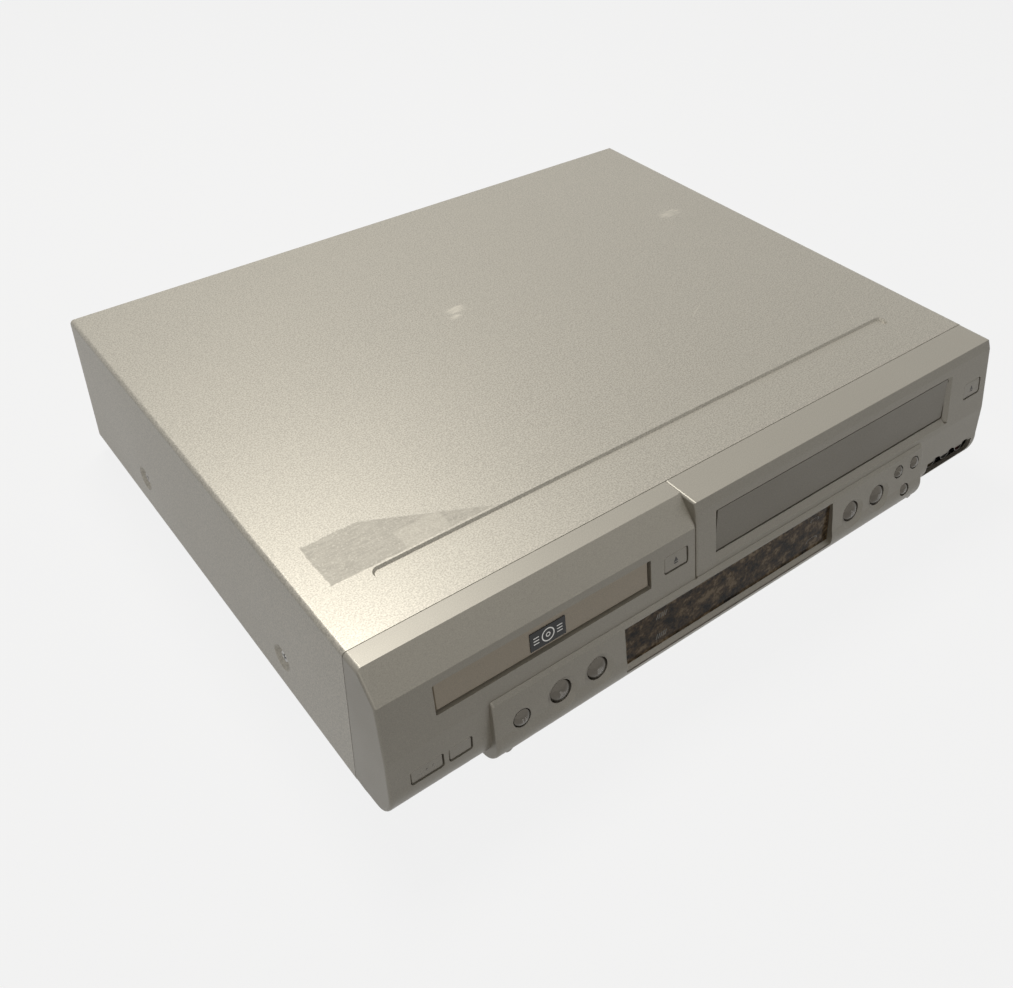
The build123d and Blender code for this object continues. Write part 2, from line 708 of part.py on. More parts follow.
# ---------------------------------------------------------------- tuner with its two aerial sockets
tuner_x = half - 65.0
tuner_front = 294.0
aerial_rows = (40.0, 62.0)
aerial_r = 4.7
aerial_bore_r = 2.4
with BuildPart() as tuner_box:
    with BuildSketch(Plane.XZ.offset(-at(tuner_front))):
        with Locations((tuner_x, 51.0)):
            Rectangle(26.0, 48.0)
    extrude(amount=-(rear_face - panel_sheet - fit_gap - tuner_front))
    with BuildSketch(Plane.XZ.offset(-at(rear_face - 3.0))):
        for z in aerial_rows:
            with Locations((tuner_x, z)):
                Circle(aerial_r)
    extrude(amount=-(3.0 + rear_reach))
    with BuildSketch(Plane.XZ.offset(-at(rear_face))):
        for z in aerial_rows:
            with Locations((tuner_x, z)):
                RegularPolygon(6.2, 6)
    extrude(amount=-2.0)
    with BuildSketch(Plane.XZ.offset(-at(rear_face + rear_reach))):
        for z in aerial_rows:
            with Locations((tuner_x, z)):
                Circle(aerial_bore_r)
    extrude(amount=8.0, mode=Mode.SUBTRACT)
    # the two side walls come down to the pan
    with BuildSketch(Plane.XY.offset(pan_top)):
        for sx in (-1, 1):
            with Locations((tuner_x + sx * 12.5, at(330.0))):
                Rectangle(1.0, 20.0)
    extrude(amount=18.0)
tuner_box.part.label = "tuner_box"

# ---------------------------------------------------------------- cord bushing, no cord in it
bushing_at = (65.0 - half, 30.0)
bushing_r = 6.0
with BuildPart() as cord_bushing:
    with BuildSketch(Plane.XZ.offset(-at(rear_face - panel_sheet - 3.0))):
        with Locations(bushing_at):
            Circle(bushing_r - 0.05)
    extrude(amount=-(panel_sheet + 3.0))
    with BuildSketch(Plane.XZ.offset(-at(rear_face))):
        with Locations(bushing_at):
            Circle(bushing_r + 2.0)
    extrude(amount=-2.0)
    with BuildSketch(Plane.XZ.offset(-at(rear_face + 2.0))):
        with Locations(bushing_at):
            Circle(4.4)
    extrude(amount=-5.0)
    with BuildSketch(Plane.XZ.offset(-at(rear_face + 7.0))):
        with Locations(bushing_at):
            Circle(2.8)
    extrude(amount=14.0, mode=Mode.SUBTRACT)
cord_bushing.part.label = "cord_bushing"

# ---------------------------------------------------------------- rear panel
rear_side = pan_side - pan_sheet - fit_gap
with BuildPart() as rear_panel:
    with BuildSketch(Plane.XZ.offset(-at(rear_face - panel_sheet))):
        with Locations((0, (pan_top + height - cover_sheet - 0.2) / 2)):
            Rectangle(2 * rear_side, height - cover_sheet - 0.2 - pan_top)
        for x in rear_columns:
            for z in rear_rows:
                with Locations((x, z)):
                    Circle(ring_r + 0.9, mode=Mode.SUBTRACT)
        with Locations(round_socket):
            Circle(7.1, mode=Mode.SUBTRACT)
        for z in aerial_rows:
            with Locations((tuner_x, z)):
                Circle(aerial_r + 0.3, mode=Mode.SUBTRACT)
        with Locations(bushing_at):
            Circle(bushing_r, mode=Mode.SUBTRACT)
        with Locations((-60.0, 62.0)):
            with GridLocations(0, 7.0, 1, 6):
                Rectangle(46.0, 2.6, mode=Mode.SUBTRACT)
    extrude(amount=-panel_sheet)
rear_panel.part.label = "rear_panel"

# ---------------------------------------------------------------- disc loader frame
disc_x = (tray_left + tray_right) / 2
disc_depth = 71.0
tray_half = 62.2
loader_front = 24.0
loader_back = 218.0
loader_floor = 52.0
floor_sheet = 2.5
rail_top = 64.85
rail_wall_top = 84.0
post_r = 4.0
loader_posts = [(x, at(d)) for x in (disc_x - 70.0, disc_x + 70.0) for d in (42.0, 204.0)]
gear_teeth = 20
module = 1.0
gear_r = gear_teeth * module / 2
rack_line = disc_x - tray_half + 7.7
gear_x = rack_line + gear_r
gear_depth = 34.0
gear_low = 65.3
gear_sheet = 3.8
rod_x = 22.0
rod_z = 60.0
rod_r = 1.5
rod_front = 84.0
rod_back = 154.0
with BuildPart() as loader_frame:
    with BuildSketch(Plane.XY.offset(loader_floor)):
        with Locations((disc_x, at((loader_front + loader_back) / 2))):
            Rectangle(149.0, loader_back - loader_front)
        with Locations((disc_x, at(120.0))):
            RectangleRounded(56.0, 64.0, 4.0, mode=Mode.SUBTRACT)
        with Locations((disc_x, at(186.0))):
            RectangleRounded(96.0, 40.0, 6.0, mode=Mode.SUBTRACT)
    extrude(amount=floor_sheet)
    # rails under the tray's ribs, and the walls outside them
    with BuildSketch(Plane.XY.offset(loader_floor)):
        for side in (-1, 1):
            with Locations((disc_x + side * (tray_half + 1.0), at((loader_front + loader_back) / 2))):
                Rectangle(8.0, loader_back - loader_front)
    extrude(amount=rail_top - loader_floor)
    with BuildSketch(Plane.XY.offset(loader_floor)):
        for side in (-1, 1):
            with Locations((disc_x + side * (tray_half + 2.6), at((loader_front + loader_back) / 2))):
                Rectangle(4.4, loader_back - loader_front)
    extrude(amount=rail_wall_top - loader_floor)
    # posts down to the pan
    with BuildSketch(Plane.XY.offset(pan_top)):
        with Locations(*loader_posts):
            Circle(post_r)
    extrude(amount=loader_floor - pan_top)
    # rod blocks and the gear's post and pin
    with BuildSketch(Plane.XY.offset(loader_floor + floor_sheet)):
        for side in (-1, 1):
            for depth in (rod_front - 1.5, rod_back + 1.5):
                with Locations((disc_x + side * rod_x, at(depth))):
                    Rectangle(8.0, 5.0)
    extrude(amount=7.5)
    with BuildSketch(Plane.XY.offset(loader_floor + floor_sheet)):
        with Locations((gear_x, at(gear_depth))):
            Circle(4.0)
    extrude(amount=gear_low - 0.1 - loader_floor - floor_sheet)
    with BuildSketch(Plane.XY.offset(gear_low - 0.2)):
        with Locations((gear_x, at(gear_depth))):
            Circle(1.95)
    extrude(amount=gear_sheet)
    for side in (-1, 1):
        with Locations(Location((disc_x + side * rod_x, at((rod_front + rod_back) / 2), rod_z), (90, 0, 0))):
            Cylinder(rod_r + 0.02, rod_back - rod_front, mode=Mode.SUBTRACT)
loader_frame.part.label = "loader_frame"

with BuildPart() as pickup_rods:
    for side in (-1, 1):
        with Locations(Location((disc_x + side * rod_x, at((rod_front + rod_back) / 2), rod_z), (90, 0, 0))):
            Cylinder(rod_r, rod_back - rod_front)
pickup_rods.part.label = "pickup_rods"

with BuildPart() as spindle_motor:
    with BuildSketch(Plane.XY.offset(loader_floor + floor_sheet)):
        with Locations((disc_x, at(disc_depth))):
            Circle(13.0)
    extrude(amount=6.5)
    fillet(spindle_motor.faces().sort_by(Axis.Z)[-1].edges(), 1.5)
spindle_motor.part.label = "spindle_motor"

disc_floor = 73.5
inner_floor = 72.5
tray_top = 77.0
tray_plate_low = 70.0
tray_low_rib = 64.95
tray_front = 8.0
tray_back = 195.0
turn_r = 14.5
with BuildPart() as turntable:
    for radius, low, high in ((8.0, 61.3, 72.0), (turn_r, 71.0, 74.0), (7.4, 74.0, 75.2)):
        with BuildSketch(Plane.XY.offset(low)):
            with Locations((disc_x, at(disc_depth))):
                Circle(radius)
        extrude(amount=high - low)
    with BuildSketch(Plane.XY.offset(75.2)):
        with Locations((disc_x, at(disc_depth))):
            Circle(7.4)
    extrude(amount=1.8, taper=40)
turntable.part.label = "turntable"

with BuildPart() as clamp_bridge:
    with BuildSketch(Plane.XY.offset(rail_wall_top)):
        with Locations((disc_x, at(disc_depth))):
            Rectangle(2 * tray_half + 9.6, 34.0)
            Circle(23.0)
            Circle(12.0, mode=Mode.SUBTRACT)
    extrude(amount=1.0)
    # raised ribs along the bridge
    with BuildSketch(Plane.XY.offset(rail_wall_top + 1.0)):
        for side in (-1, 1):
            with Locations((disc_x + side * 42.0, at(disc_depth))):
                SlotOverall(34.0, 8.0)
    extrude(amount=1.2, taper=20)
clamp_bridge.part.label = "clamp_bridge"

with BuildPart() as disc_clamp:
    for radius, low, high in ((15.5, 79.0, 83.6), (11.9, 83.6, 85.15), (14.0, 85.15, 87.0)):
        with BuildSketch(Plane.XY.offset(low)):
            with Locations((disc_x, at(disc_depth))):
                Circle(radius)
        extrude(amount=high - low)
    with BuildSketch(Plane.XY.offset(79.0)):
        with Locations((disc_x, at(disc_depth))):
            Circle(8.5)
    extrude(amount=1.6, mode=Mode.SUBTRACT)
disc_clamp.part.label = "disc_clamp"

# ---------------------------------------------------------------- optical pickup
lens_depth = 96.0
with BuildPart() as pickup:
    with BuildSketch(Plane.XY.offset(56.8)):
        with Locations((disc_x, at(lens_depth + 4.0))):
            RectangleRounded(51.0, 24.0, 3.0)
        with Locations((disc_x, at(lens_depth + 16.0))):
            RectangleRounded(18.0, 8.0, 3.0, mode=Mode.SUBTRACT)
    extrude(amount=7.6)
    with BuildSketch(Plane.XY.offset(64.4)):
        with Locations((disc_x, at(lens_depth))):
            RectangleRounded(15.0, 12.0, 2.0)
    extrude(amount=3.6)
    with BuildSketch(Plane.XY.offset(68.0)):
        with Locations((disc_x, at(lens_depth))):
            Circle(3.4)
    extrude(amount=1.4, taper=30)
    for side in (-1, 1):
        with Locations(Location((disc_x + side * rod_x, at(lens_depth), rod_z), (90, 0, 0))):
            Cylinder(rod_r + 0.06, 60.0, mode=Mode.SUBTRACT)
pickup.part.label = "pickup"

# ---------------------------------------------------------------- disc tray with its rack
rack_base = rack_line + 1.2
rack_front = 14.0
rack_back = 190.0
pitch = 3.14159265 * module


def tooth(base_x, tip_x, y, base_width, tip_width):
    """Corners of one straight-sided tooth pointing along x."""
    return [(base_x, y - base_width / 2), (tip_x, y - tip_width / 2),
            (tip_x, y + tip_width / 2), (base_x, y + base_width / 2)]


with BuildPart() as disc_tray:
    with BuildSketch(Plane.XY.offset(tray_plate_low)):
        with Locations((disc_x, at((tray_front + tray_back) / 2))):
            RectangleRounded(2 * tray_half, tray_back - tray_front, 1.0)
    extrude(amount=tray_top - tray_plate_low)
    # side ribs that ride on the rails, and the web the rack is cut on
    with BuildSketch(Plane.XY.offset(tray_low_rib)):
        for side in (-1, 1):
            with Locations((disc_x + side * (tray_half - 1.5), at((tray_front + tray_back) / 2))):
                Rectangle(3.0, tray_back - tray_front)
    extrude(amount=tray_plate_low - tray_low_rib)
    with BuildSketch(Plane.XY.offset(gear_low)):
        with Locations(((disc_x - tray_half + rack_line - 1.2) / 2, at((rack_front + rack_back) / 2))):
            Rectangle(rack_line - 1.2 - disc_x + tray_half, rack_back - rack_front)
        for k in range(-5, 50):
            y = at(gear_depth) + k * pitch
            if at(rack_front) + 1.6 < y < at(rack_back) - 1.6:
                with BuildLine():
                    Polyline(*tooth(rack_line - 1.3, rack_line + 0.95, y, 2.15, 0.75), close=True)
                make_face()
    extrude(amount=tray_plate_low - gear_low)
    # seats for the large and the small disc
    with BuildSketch(Plane.XY.offset(disc_floor)):
        with Locations((disc_x, at(disc_depth))):
            Circle(60.7)
    extrude(amount=10.0, mode=Mode.SUBTRACT)
    with BuildSketch(Plane.XY.offset(inner_floor)):
        with Locations((disc_x, at(disc_depth))):
            Circle(41.0)
    extrude(amount=10.0, mode=Mode.SUBTRACT)
    # way for the turntable and the pickup, open at the back
    with BuildSketch(Plane.XY.offset(60.0)):
        with Locations((disc_x, at(disc_depth))):
            Circle(19.0)
        with Locations((disc_x, at(disc_depth + 70.0))):
            Rectangle(38.0, 140.0)
    extrude(amount=20.0, mode=Mode.SUBTRACT)
    # finger scoops and a shallow relief behind the disc seat
    with BuildSketch(Plane.XY.offset(disc_floor - 1.0)):
        for side in (-1, 1):
            with Locations((disc_x + side * 30.0, at(disc_depth - 52.0))):
                Circle(9.0)
            with Locations((disc_x + side * 40.0, at(162.0))):
                RectangleRounded(34.0, 44.0, 3.0)
    extrude(amount=10.0, mode=Mode.SUBTRACT)
disc_tray.part.label = "disc_tray"

door_half = tray_half - 0.05
door_low = 64.7
door_high = 80.0
door_sink = 1.3
with BuildPart() as tray_door:
    with BuildSketch(side_plane(disc_x - door_half)):
        with BuildLine():
            Polyline((at(upper_depth(door_low) + door_sink), door_low),
                     (at(upper_depth(door_high) + door_sink), door_high),
                     (at(tray_front - 0.05), door_high), (at(tray_front - 0.05), door_low), close=True)
        make_face()
    extrude(amount=2 * door_half)
    chamfer(tray_door.faces().sort_by(Axis.Y)[0].edges(), 0.7)
tray_door.part.label = "tray_door"

plaque_size = (20.6, 10.2)
plaque_z = 71.6
with BuildPart() as door_plaque:
    with BuildSketch(front_plane(upper_depth(plaque_z) + door_sink - 0.02, disc_x, plaque_z, upper_lean)):
        Rectangle(plaque_size[0], plaque_size[1])
    extrude(amount=0.35)
door_plaque.part.label = "door_plaque"

with BuildPart() as tray_gear:
    with BuildSketch(Plane.XY.offset(gear_low)):
        with Locations((gear_x, at(gear_depth))):
            Circle(gear_r - 1.25 * module)
        for k in range(gear_teeth):
            turn = 360.0 / gear_teeth * (k + 0.5)
            with Locations(Location((gear_x, at(gear_depth), 0), (0, 0, turn))):
                with BuildLine(mode=Mode.PRIVATE) as outline:
                    Polyline(*tooth(gear_r - 1.6, gear_r + 0.9, 0.0, 2.0, 0.7), close=True)
                add(make_face(outline.edges(), mode=Mode.PRIVATE))
        with Locations((gear_x, at(gear_depth))):
            Circle(2.0, mode=Mode.SUBTRACT)
    extrude(amount=gear_sheet)
tray_gear.part.label = "tray_gear"

# ---------------------------------------------------------------- cassette flap
flap_left = slot_left + 1.2
flap_right = slot_right - 2.0
flap_high = slot_high - 0.4
flap_low = 61.4
with BuildPart() as flap:
    with BuildSketch(side_plane(flap_left)):
        with BuildLine():
            Polyline((at(4.4), flap_high), (at(2.2), flap_low), (at(4.0), flap_low - 0.4),
                     (at(5.0), flap_low + 0.6), (at(4.6), 70.0), (at(6.4), flap_high), close=True)
        make_face()
    extrude(amount=flap_right - flap_left)
    # ears with the pivot pins at both ends
    with BuildSketch(side_plane(flap_left)):
        with Locations((at(pin_depth), pin_z)):
            Circle(2.6)
        with Locations((at(pin_depth - 1.2), pin_z)):
            Rectangle(2.4, 5.2)
    extrude(amount=4.0)
    with BuildSketch(side_plane(flap_right - 4.0)):
        with Locations((at(pin_depth), pin_z)):
            Circle(2.6)
        with Locations((at(pin_depth - 1.2), pin_z)):
            Rectangle(2.4, 5.2)
    extrude(amount=4.0)
    with BuildSketch(side_plane(slot_left - 1.5)):
        with Locations((at(pin_depth), pin_z)):
            Circle(pin_r)
    extrude(amount=6.0)
    with BuildSketch(side_plane(slot_right - 4.5)):
        with Locations((at(pin_depth), pin_z)):
            Circle(pin_r)
    extrude(amount=6.0)
flap.part.label = "flap"

# ---------------------------------------------------------------- cassette deck
deck_low = 26.0
deck_sheet = 1.5
deck_top = deck_low + deck_sheet
deck_left = -22.0
deck_right = 180.0
deck_front = 38.0
deck_back = 290.0
bracket_top = 90.0
tape_x = (slot_left + slot_right) / 2
basket_half = 96.3
basket_floor = 58.0
basket_front = 40.0
basket_back = 120.0
basket_travel = 60.0
guide_z = 73.0
guide_r = 2.5
guide_depths = (60.0, 100.0)
reel_depth = 150.0
reel_apart = 46.0         # each side of the middle, 92 mm between a cassette's two hubs
drum_r = 31.0             # 62 mm drum
drum_depth = 232.0
capstan_at = (tape_x + 72.0, 205.0)
capstan_r = 2.0
with BuildPart() as deck_plate:
    with BuildSketch(Plane.XY.offset(deck_low)):
        with Locations(((deck_left + deck_right) / 2, at((deck_front + deck_back) / 2))):
            Rectangle(deck_right - deck_left, deck_back - deck_front)
        with Locations((tape_x, at(75.0))):
            RectangleRounded(110.0, 40.0, 5.0, mode=Mode.SUBTRACT)
        with Locations((capstan_at[0], at(capstan_at[1]))):
            Circle(capstan_r + 0.06, mode=Mode.SUBTRACT)
    extrude(amount=deck_sheet)
    with BuildSketch(Plane.XY.offset(deck_low)):
        for x in (deck_left + deck_sheet / 2, deck_right - deck_sheet / 2):
            with Locations((x, at(112.0))):
                Rectangle(deck_sheet, 144.0)
    extrude(amount=bracket_top - deck_low)
    with BuildSketch(Plane.XY.offset(pan_top)):
        with Locations(*[(x, at(d)) for x in (deck_left + 6.0, deck_right - 6.0) for d in (62.0, 280.0)]):
            Circle(post_r)
    extrude(amount=deck_low - pan_top)
    # level slots for the basket's guide pins
    with BuildSketch(side_plane(deck_left - 1.0)):
        with Locations((at((guide_depths[0] + guide_depths[1] + basket_travel) / 2), guide_z)):
            SlotOverall(guide_depths[1] - guide_depths[0] + basket_travel + 2 * guide_r + 1.0,
                        2 * guide_r + 0.2)
    extrude(amount=deck_right - deck_left + 2.0, mode=Mode.SUBTRACT)
    # air slots in the brackets
    with BuildSketch(side_plane(deck_left - 1.0)):
        with Locations((at(112.0), 45.0)):
            RectangleRounded(90.0, 20.0, 6.0)
    extrude(amount=deck_right - deck_left + 2.0, mode=Mode.SUBTRACT)
deck_plate.part.label = "deck_plate"

with BuildPart() as cassette_basket:
    with BuildSketch(Plane.XZ.offset(-at(basket_front))):
        with Locations((tape_x, basket_floor + 15.0)):
            Rectangle(2 * basket_half, 30.0)
            Rectangle(2 * basket_half - 2.0, 28.0, mode=Mode.SUBTRACT)
        with Locations((tape_x, basket_floor + 29.5)):
            Rectangle(2 * basket_half - 40.0, 4.0, mode=Mode.SUBTRACT)
    extrude(amount=-(basket_back - basket_front))
    with BuildSketch(Plane.XY.offset(basket_floor - 1.0)):
        with Locations((tape_x, at(basket_back - 22.0))):
            RectangleRounded(120.0, 60.0, 5.0)
    extrude(amount=3.0, mode=Mode.SUBTRACT)
    for side in (-1, 1):
        for depth in guide_depths:
            with BuildSketch(side_plane(tape_x + side * (basket_half - 0.5))):
                with Locations((at(depth), guide_z)):
                    Circle(guide_r)
            extrude(amount=side * 5.6)
cassette_basket.part.label = "cassette_basket"

with BuildPart() as lower_drum:
    with BuildSketch(Plane.XY.offset(deck_top)):
        with Locations((tape_x, at(drum_depth))):
            Circle(drum_r)
    extrude(amount=14.0)
    with BuildSketch(Plane.XY.offset(deck_top)):
        with Locations((tape_x, at(drum_depth))):
            RectangleRounded(68.0, 44.0, 6.0)
    extrude(amount=4.0)
    with BuildSketch(Plane.XY.offset(deck_top + 14.0)):
        with Locations((tape_x, at(drum_depth))):
            Circle(3.0)
    extrude(amount=10.0)
lower_drum.part.label = "lower_drum"

drum_gap = 0.3
with BuildPart() as upper_drum:
    with BuildSketch(Plane.XY.offset(deck_top + 14.0 + drum_gap)):
        with Locations((tape_x, at(drum_depth))):
            Circle(drum_r)
    extrude(amount=13.0)
    with BuildSketch(Plane.XY.offset(deck_top + 27.0 + drum_gap)):
        with Locations((tape_x, at(drum_depth))):
            Circle(drum_r - 4.0)
            Circle(9.0, mode=Mode.SUBTRACT)
    extrude(amount=-5.0, mode=Mode.SUBTRACT)
    with BuildSketch(Plane.XY.offset(deck_top)):
        with Locations((tape_x, at(drum_depth))):
            Circle(3.06)
    extrude(amount=40.0, mode=Mode.SUBTRACT)
    with BuildSketch(Plane.XY.offset(deck_top + 14.0 + drum_gap)):
        with Locations((tape_x, at(drum_depth))):
            with PolarLocations(drum_r, 4):
                Rectangle(1.2, 3.0)
    extrude(amount=2.0, mode=Mode.SUBTRACT)
upper_drum.part.label = "upper_drum"


def reel_table(side, name):
    """Turning table with the splined hub that drives one reel of a cassette."""
    with BuildPart() as reel:
        with BuildSketch(Plane.XY.offset(deck_top + 0.3)):
            with Locations((tape_x + side * reel_apart, at(reel_depth))):
                Circle(17.0)
        extrude(amount=3.0)
        with BuildSketch(Plane.XY.offset(deck_top + 3.3)):
            with Locations((tape_x + side * reel_apart, at(reel_depth))):
                Circle(9.5)
        extrude(amount=3.0)
        with BuildSketch(Plane.XY.offset(deck_top + 6.3)):
            with Locations((tape_x + side * reel_apart, at(reel_depth))):
                Circle(5.5)
                with PolarLocations(6.2, 6):
                    Rectangle(3.6, 1.6)
        extrude(amount=12.0, taper=3)
    reel.part.label = name
    return reel


supply_reel = reel_table(-1, "supply_reel")
takeup_reel = reel_table(1, "takeup_reel")

with BuildPart() as capstan:
    with BuildSketch(Plane.XY.offset(16.0)):
        with Locations((capstan_at[0], at(capstan_at[1]))):
            Circle(24.0)
    extrude(amount=6.0)
    with BuildSketch(Plane.XY.offset(22.0)):
        with Locations((capstan_at[0], at(capstan_at[1]))):
            Circle(6.0)
    extrude(amount=3.7)
    with BuildSketch(Plane.XY.offset(25.0)):
        with Locations((capstan_at[0], at(capstan_at[1]))):
            Circle(capstan_r)
    extrude(amount=31.0)
    with BuildSketch(Plane.XY.offset(16.0)):
        with Locations((capstan_at[0], at(capstan_at[1]))):
            with PolarLocations(15.0, 5):
                Circle(3.5)
    extrude(amount=6.0, mode=Mode.SUBTRACT)
capstan.part.label = "capstan"

post_spots = [(-62.0, 196.0), (-46.0, 204.0), (46.0, 204.0), (60.0, 196.0), (-40.0, 246.0), (40.0, 246.0)]
with BuildPart() as tape_guides:
    for dx, depth in post_spots:
        for radius, low, high in ((2.4, 0.0, 24.0), (4.0, 0.0, 6.0), (4.0, 19.0, 21.0)):
            with BuildSketch(Plane.XY.offset(deck_top + low)):
                with Locations((tape_x + dx, at(depth))):
                    Circle(radius)
            extrude(amount=high - low)
    with BuildSketch(Plane.XY.offset(deck_top)):
        with Locations((tape_x + 56.0, at(222.0))):
            RectangleRounded(20.0, 12.0, 2.0)
        with Locations((tape_x - 72.0, at(238.0))):
            RectangleRounded(26.0, 40.0, 3.0)
    extrude(amount=22.0)
tape_guides.part.label = "tape_guides"

# ---------------------------------------------------------------- circuit boards
stand_height = 3.5
main_low = (26.0 - half, 58.0)
main_high = (-62.0, 216.0)
power_low = (11.0 - half, 228.0)
power_high = (-44.0, 330.0)


def board(low, high, name):
    """Flat board on six short stands that reach the pan."""
    with BuildPart() as sheet:
        with BuildSketch(Plane.XY.offset(pan_top + stand_height)):
            with Locations(((low[0] + high[0]) / 2, at((low[1] + high[1]) / 2))):
                Rectangle(high[0] - low[0], high[1] - low[1])
        extrude(amount=board_sheet)
        with BuildSketch(Plane.XY.offset(pan_top)):
            for x in (low[0] + 6.0, (low[0] + high[0]) / 2, high[0] - 6.0):
                for depth in (low[1] + 6.0, high[1] - 6.0):
                    with Locations((x, at(depth))):
                        Circle(3.0)
        extrude(amount=stand_height)
    sheet.part.label = name
    return sheet


main_board = board(main_low, main_high, "main_board")
power_board = board(power_low, power_high, "power_board")

board_top = pan_top + stand_height + board_sheet
with BuildPart() as main_parts:
    for x, depth, wide, deep, tall in ((-140.0, 120.0, 28.0, 28.0, 3.0), (-100.0, 110.0, 20.0, 14.0, 2.6),
                                       (-105.0, 150.0, 14.0, 20.0, 2.6),
                                       (main_low[0] + 24.0, 160.0, 24.0, 10.0, 8.0),
                                       (-80.0, 190.0, 10.0, 34.0, 9.0),
                                       (main_low[0] + 39.0, 195.0, 40.0, 8.0, 7.0),
                                       (-90.0, 78.0, 34.0, 8.0, 7.0)):
        with BuildSketch(Plane.XY.offset(board_top)):
            with Locations((x, at(depth))):
                Rectangle(wide, deep)
        extrude(amount=tall)
    for x, depth in ((main_low[0] + 14.0, 110.0), (main_low[0] + 14.0, 96.0), (-120.0, 180.0),
                     (-108.0, 180.0), (-75.0, 140.0)):
        with BuildSketch(Plane.XY.offset(board_top)):
            with Locations((x, at(depth))):
                Circle(4.0)
        extrude(amount=11.0)
main_parts.part.label = "main_parts"

with BuildPart() as power_parts:
    for x, depth, wide, deep, tall in ((power_low[0] + 32.0, 262.0, 42.0, 34.0, 34.0),
                                       (power_low[0] + 32.0, 262.0, 28.0, 40.0, 26.0),
                                       (-80.0, 250.0, 16.0, 18.0, 14.0), (-60.0, 300.0, 12.0, 40.0, 10.0)):
        with BuildSketch(Plane.XY.offset(board_top)):
            with Locations((x, at(depth))):
                Rectangle(wide, deep)
        extrude(amount=tall)
    for k in range(7):
        with BuildSketch(Plane.XY.offset(board_top)):
            with Locations((-128.0 + 4.0 * k, at(262.0))):
                Rectangle(1.4, 24.0)
        extrude(amount=28.0)
    with BuildSketch(Plane.XY.offset(board_top)):
        with Locations((-116.0, at(262.0))):
            Rectangle(25.4, 2.4)
    extrude(amount=28.0)
    for x, depth, radius, tall in ((-130.0, 302.0, 11.0, 30.0), (-100.0, 306.0, 6.5, 22.0),
                                   (-84.0, 306.0, 6.5, 22.0), (-84.0, 286.0, 5.0, 16.0)):
        with BuildSketch(Plane.XY.offset(board_top)):
            with Locations((x, at(depth))):
                Circle(radius)
        extrude(amount=tall)
power_parts.part.label = "power_parts"

# ---------------------------------------------------------------- files
pieces = [front_bezel, top_cover, chassis_pan, rear_panel, feet, foot_pads, cover_screws, display_window,
          display_module, front_board, socket_block, front_shells, rear_block, rear_shells, tuner_box,
          cord_bushing, loader_frame, pickup_rods, spindle_motor, turntable, clamp_bridge, disc_clamp,
          pickup, disc_tray, tray_door, door_plaque, tray_gear, flap, deck_plate, cassette_basket,
          lower_drum, upper_drum, supply_reel, takeup_reel, capstan, tape_guides, main_board, main_parts,
          power_board, power_parts] + front_cores + rear_cores
for piece in pieces:
    export_step(piece.part, f"parts/{piece.part.label}.step")
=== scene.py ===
import bmesh
import bpy
import numpy as np
from math import cos, pi, radians, sin
from mathutils import Matrix


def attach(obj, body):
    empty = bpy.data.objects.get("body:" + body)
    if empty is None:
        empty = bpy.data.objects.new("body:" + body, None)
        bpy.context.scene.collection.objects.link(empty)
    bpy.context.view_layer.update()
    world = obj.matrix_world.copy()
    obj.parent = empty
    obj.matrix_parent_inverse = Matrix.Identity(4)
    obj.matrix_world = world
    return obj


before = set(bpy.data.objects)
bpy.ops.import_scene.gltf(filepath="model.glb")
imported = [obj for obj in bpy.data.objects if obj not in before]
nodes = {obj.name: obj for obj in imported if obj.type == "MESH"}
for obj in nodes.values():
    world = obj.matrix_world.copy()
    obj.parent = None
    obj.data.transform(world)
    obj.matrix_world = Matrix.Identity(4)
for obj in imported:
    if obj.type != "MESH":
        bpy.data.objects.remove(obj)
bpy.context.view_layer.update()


# ---------------------------------------------------------------- front moulding
# The whole front is one plastic moulding, sprayed with a champagne silver paint. The paint holds
# fine metal flakes, so it sparkles a little from near and looks even from a step away.
class Wire:
    """A shader output that can stand in a sum: each operator adds one Math node behind it."""

    def __init__(self, finish, socket):
        self.finish = finish
        self.socket = socket

    def math(self, operation, first, second, clamp=False):
        settings = {"operation": operation, "use_clamp": clamp}
        return self.finish.node("ShaderNodeMath", settings, {0: first, 1: second})

    def __add__(self, other):
        return self.math("ADD", self, other)

    def __sub__(self, other):
        return self.math("SUBTRACT", self, other)

    def __rsub__(self, other):
        return self.math("SUBTRACT", other, self)

    def __mul__(self, other):
        return self.math("MULTIPLY", self, other)

    def __truediv__(self, other):
        return self.math("DIVIDE", self, other)

    def __mod__(self, other):
        return self.math("FLOORED_MODULO", self, other)

    __radd__ = __add__
    __rmul__ = __mul__

    def above(self, edge, soft):
        """0 below an edge and 1 above it, rising evenly over the soft width around the edge."""
        return self.math("ADD", (self - edge) / soft, 0.5, clamp=True)

    def below(self, edge, soft):
        """1 below an edge and 0 above it."""
        return 1.0 - self.above(edge, soft)

    def within(self, low, high, soft):
        """1 between two edges and 0 outside them."""
        return self.above(low, soft) * self.below(high, soft)

    def away(self):
        """Distance from zero, either way."""
        return self.math("ABSOLUTE", self, 0.0)


